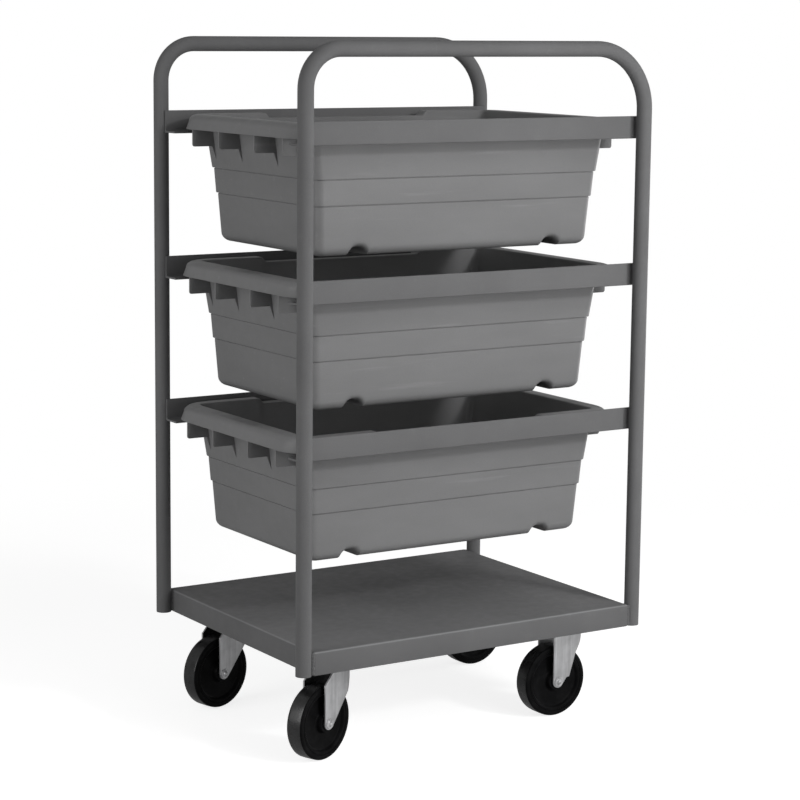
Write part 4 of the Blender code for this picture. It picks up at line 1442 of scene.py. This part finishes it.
class CART_OT_plate_bolts(bpy.types.Operator):
    """Builds the plate bolts with their washers and nuts"""

    bl_idname = "cart.plate_bolts"
    bl_label = "Plate bolts"

    # The nut stands on the cross channel, and the head below the washer, from the plate down
    channel_sheet = 0.003
    nut_height = 0.0068
    thread_start = 0.0072
    washer_share = 1.08
    washer_bottom = 0.0014
    head_top = 0.0015

    def execute(self, context):
        sizes = settings().caster
        radius, head = sizes.bolt_radius, sizes.bolt_head_radius
        nodes = [name for name in frame["nodes"] if "_bolt_" in name]
        low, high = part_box(nodes[0])
        plate_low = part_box("swivel_plate_front")[0].z
        nut_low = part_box("base_deck")[0].z + self.channel_sheet
        tip = 0.0008
        loops = hex_head(head, plate_low - self.head_top, low.z)[::-1]
        shank = [(radius, plate_low - self.head_top), (radius, nut_low)]
        shank += thread(radius, nut_low + self.thread_start, high.z - tip)
        shank += [(radius - tip, high.z)]
        bolt = bmesh.new()
        loft(bolt, loops + rings(shank, ROUND_SIDES))
        inner, outer = radius + GAP, head * self.washer_share
        top, bottom = plate_low - GAP, plate_low - self.washer_bottom
        washer = [(inner, top), (outer, top), (outer, bottom), (inner, bottom)]
        loft(bolt, rings(washer, ROUND_SIDES), closed=True)
        nut = hex_nut(head, radius + 0.0001, nut_low, nut_low + self.nut_height)
        loft(bolt, nut, closed=True)
        places = [(*box_middle(name).xy, 0.0, 0.2 * index) for index, name in enumerate(nodes)]
        thing = repeat("plate_bolts", mesh_object("bolt", bolt), places, "zinc")
        finish_piece(thing, "zinc", "frame", nodes)
        return {"FINISHED"}


class CART_OT_axles(bpy.types.Operator):
    """Builds the axle bolts, their nuts and the sleeves in the wheels"""

    bl_idname = "cart.axles"
    bl_label = "Axles"

    nut_radius = 0.0085
    nut_height = 0.0068
    sleeve_radius = 0.0080

    def execute(self, context):
        sizes = settings().caster
        outside = sizes.fork_inside / 2 + sizes.fork_sheet
        bore = sizes.axle_radius + BORE_GAP
        nut_face = -outside - GAP
        nut = hex_nut(self.nut_radius, bore, nut_face - self.nut_height, nut_face)
        bolt = rings(self.bolt(sizes.axle_radius, outside), 48)
        sleeve = rings(self.sleeve(bore, sizes.fork_inside / 2 - GAP), 48)
        # (piece, part of the node's name, finish, loops, whether the loops close)
        pieces = (
            ("axle_bolt", "axle", "zinc", bolt, False),
            ("axle_locknut", "axle_nut", "zinc", nut, True),
            ("spacer_sleeve", "axle_sleeve", "steel", sleeve, True),
        )
        for caster, (name, part, finish, loops, closed) in product(all_casters(), pieces):
            thing = lofted(caster.piece(name), loops, closed, caster.axle_place)
            finish_piece(thing, finish, caster.fork_body, [caster.node(part)])
        return {"FINISHED"}

    def bolt(self, radius, outside):
        """From the middle of the domed head to the end of the thread."""
        face = outside + GAP
        profile = [(0.0004, face + 0.0045)]
        profile += arc((0.0, face + 0.0013), 0.0046, 80, 15, 6)
        profile += [(0.0058, face + 0.0017), (0.0064, face + 0.0020)]
        profile += [(0.0079, face + 0.0020), (0.0085, face + 0.0014)]
        profile += [(0.0085, face), (radius, face), (radius, -outside)]
        profile += thread(radius, -outside - 0.0002, -outside - 0.0100)
        return profile + [(radius - 0.0012, -outside - 0.0110)]

    def sleeve(self, inner, half):
        outer, chamfer = self.sleeve_radius, 0.0004
        profile = [(outer - chamfer, -half), (outer, -half + chamfer)]
        profile += [(outer, half - chamfer), (outer - chamfer, half)]
        return profile + [(inner, half), (inner, -half)]


# ---- stage

# Name, place, what it faces, (width, height), watts and whether it shows in reflections
LAMPS = (
    ("key", (1.45, -3.85, 2.45), (0.05, 0, 0.65), (0.55, 0.40), 52.0, False),
    ("high", (0.75, -1.75, 2.3), (0.25, -0.3, 0.6), (0.9, 0.7), 8.5, False),
    ("front", (0.35, -1.5, 0.85), (0, 0, 0.6), (1.0, 1.3), 10.5, True),
    ("left", (-1.8, -0.05, 0.8), (0, 0, 0.6), (0.9, 1.2), 9.5, True),
    ("right", (1.8, -0.1, 0.5), (0, 0, 0.3), (0.8, 0.8), 6.0, True),
)
FLOOR_HALF = 30.0
FLOOR_LEVEL = -0.0005
# Distances between which the floor turns from lit to plain white
FLOOR_FADE = (0.9, 2.2)


def seen_directly(tree, mirrored):
    """1 for the camera's rays, mirrored for reflections, 0 for light that bounces."""
    path = add_node(tree, "ShaderNodeLightPath").outputs
    reflected = arithmetic(tree, "MULTIPLY", path["Is Glossy Ray"], mirrored)
    direct = arithmetic(tree, "MAXIMUM", path["Is Camera Ray"], path["Is Transmission Ray"])
    return arithmetic(tree, "MAXIMUM", direct, reflected)


def floor_finish(stage):
    """A pale floor that is seen as white, with the cart's soft shadow on it."""
    material = bpy.data.materials.new("pale_floor")
    material.use_nodes = True
    tree = material.node_tree
    lit = tree.nodes["Principled BSDF"]
    lit.inputs["Base Color"].default_value = (*stage.floor_colour, 1.0)
    lit.inputs["Roughness"].default_value = 0.9
    lit.inputs["Specular IOR Level"].default_value = 0.0
    glow = add_node(tree, "ShaderNodeEmission", {"Strength": stage.floor_glow})
    white = add_node(tree, "ShaderNodeEmission", {"Strength": 1.0})
    near = add_node(tree, "ShaderNodeAddShader", {0: lit, 1: glow})
    place = add_node(tree, "ShaderNodeTexCoord").outputs["Object"]
    away = add_node(tree, "ShaderNodeVectorMath", {0: place}, operation="LENGTH")
    links = {"Value": away.outputs["Value"], "From Min": FLOOR_FADE[0], "From Max": FLOOR_FADE[1]}
    far = add_node(tree, "ShaderNodeMapRange", links, interpolation_type="SMOOTHSTEP")
    shown = add_node(tree, "ShaderNodeMixShader", {"Fac": far, 1: near, 2: white})
    links = {"Fac": seen_directly(tree, stage.mirror_level), 1: lit, 2: shown}
    mix = add_node(tree, "ShaderNodeMixShader", links)
    tree.links.new(mix.outputs[0], tree.nodes["Material Output"].inputs["Surface"])
    return material


def studio_world(level, mirrored):
    """White where it is seen, dimmer in reflections, and an even light of a low level elsewhere."""
    world = bpy.data.worlds.new("studio")
    world.use_nodes = True
    background = world.node_tree.nodes["Background"]
    background.inputs["Color"].default_value = (1, 1, 1, 1)
    direct = seen_directly(world.node_tree, mirrored)
    links = {"Value": direct, "To Min": level, "To Max": 1.0}
    strength = add_node(world.node_tree, "ShaderNodeMapRange", links)
    world.node_tree.links.new(strength.outputs["Result"], background.inputs["Strength"])
    bpy.context.scene.world = world


def soft_lamp(name, place, target, size, power, in_reflections):
    lamp = bpy.data.lights.new(name, "AREA")
    lamp.shape = "RECTANGLE"
    lamp.size, lamp.size_y = size
    lamp.energy = power
    thing = add_object(name, lamp)
    thing.location = place
    aim = Vector(target) - Vector(place)
    thing.rotation_euler = aim.to_track_quat("-Z", "Y").to_euler()
    thing.visible_camera = False
    thing.visible_glossy = in_reflections


def photo_camera(stage):
    lens = bpy.data.cameras.new("photo_camera")
    lens.lens = stage.lens
    lens.sensor_width = 36.0
    lens.clip_start = 0.05
    lens.clip_end = 200.0
    thing = add_object("photo_camera", lens)
    tilt = Matrix.Rotation(math.pi / 2 - stage.camera_pitch, 4, "X")
    yaw = Matrix.Rotation(-stage.camera_yaw, 4, "Z")
    roll = Matrix.Rotation(stage.camera_roll, 4, "Z")
    thing.matrix_world = Matrix.Translation(Vector(stage.camera_place)) @ yaw @ tilt @ roll
    bpy.context.scene.camera = thing


class CART_OT_stage(bpy.types.Operator):
    """Sets up the floor, the soft lamps and the camera"""

    bl_idname = "cart.stage"
    bl_label = "Stage"

    def execute(self, context):
        stage = settings().stage
        bm = bmesh.new()
        signs = ((-1, -1), (1, -1), (1, 1), (-1, 1))
        corners = [(x * FLOOR_HALF, y * FLOOR_HALF, FLOOR_LEVEL) for x, y in signs]
        bm.faces.new([bm.verts.new(corner) for corner in corners])
        floor = mesh_object("studio_floor", bm)
        floor.data.materials.append(floor_finish(stage))
        studio_world(stage.world_level, stage.mirror_level)
        for lamp in LAMPS:
            soft_lamp(*lamp)
        photo_camera(stage)
        context.scene.view_settings.view_transform = "Standard"
        return {"FINISHED"}


# ---- panel and registration


OPERATORS = (
    CART_OT_finishes,
    CART_OT_tube_frames,
    CART_OT_rails,
    CART_OT_deck,
    CART_OT_welds,
    CART_OT_tubs,
    CART_OT_wheels,
    CART_OT_forks,
    CART_OT_bearings,
    CART_OT_plate_bolts,
    CART_OT_axles,
    CART_OT_stage,
)


class CART_PT_panel(bpy.types.Panel):
    """Lists the pieces of the cart"""

    bl_idname = "CART_PT_panel"
    bl_label = "Tub rack cart"
    bl_space_type = "VIEW_3D"
    bl_region_type = "UI"
    bl_category = "Tub rack cart"

    def draw(self, context):
        for operator in OPERATORS:
            self.layout.operator(operator.bl_idname)
        groups = settings()
        for name in ("frame", "tub", "caster", "finish", "stage"):
            box = self.layout.box()
            group = getattr(groups, name)
            for key in group.bl_rna.properties.keys():
                if key not in ("rna_type", "name"):
                    box.prop(group, key)


CLASSES = (
    CART_PG_frame,
    CART_PG_tub,
    CART_PG_caster,
    CART_PG_finish,
    CART_PG_stage,
    CART_PG_all,
    *OPERATORS,
    CART_PT_panel,
)


def register():
    for kind in CLASSES:
        bpy.utils.register_class(kind)
    setattr(bpy.types.Scene, SETTINGS, bpy.props.PointerProperty(type=CART_PG_all))


def unregister():
    delattr(bpy.types.Scene, SETTINGS)
    for kind in reversed(CLASSES):
        bpy.utils.unregister_class(kind)


def main():
    register()
    for operator in OPERATORS:
        group, name = operator.bl_idname.split(".")
        getattr(getattr(bpy.ops, group), name)()


if __name__ == "__main__":
    main()
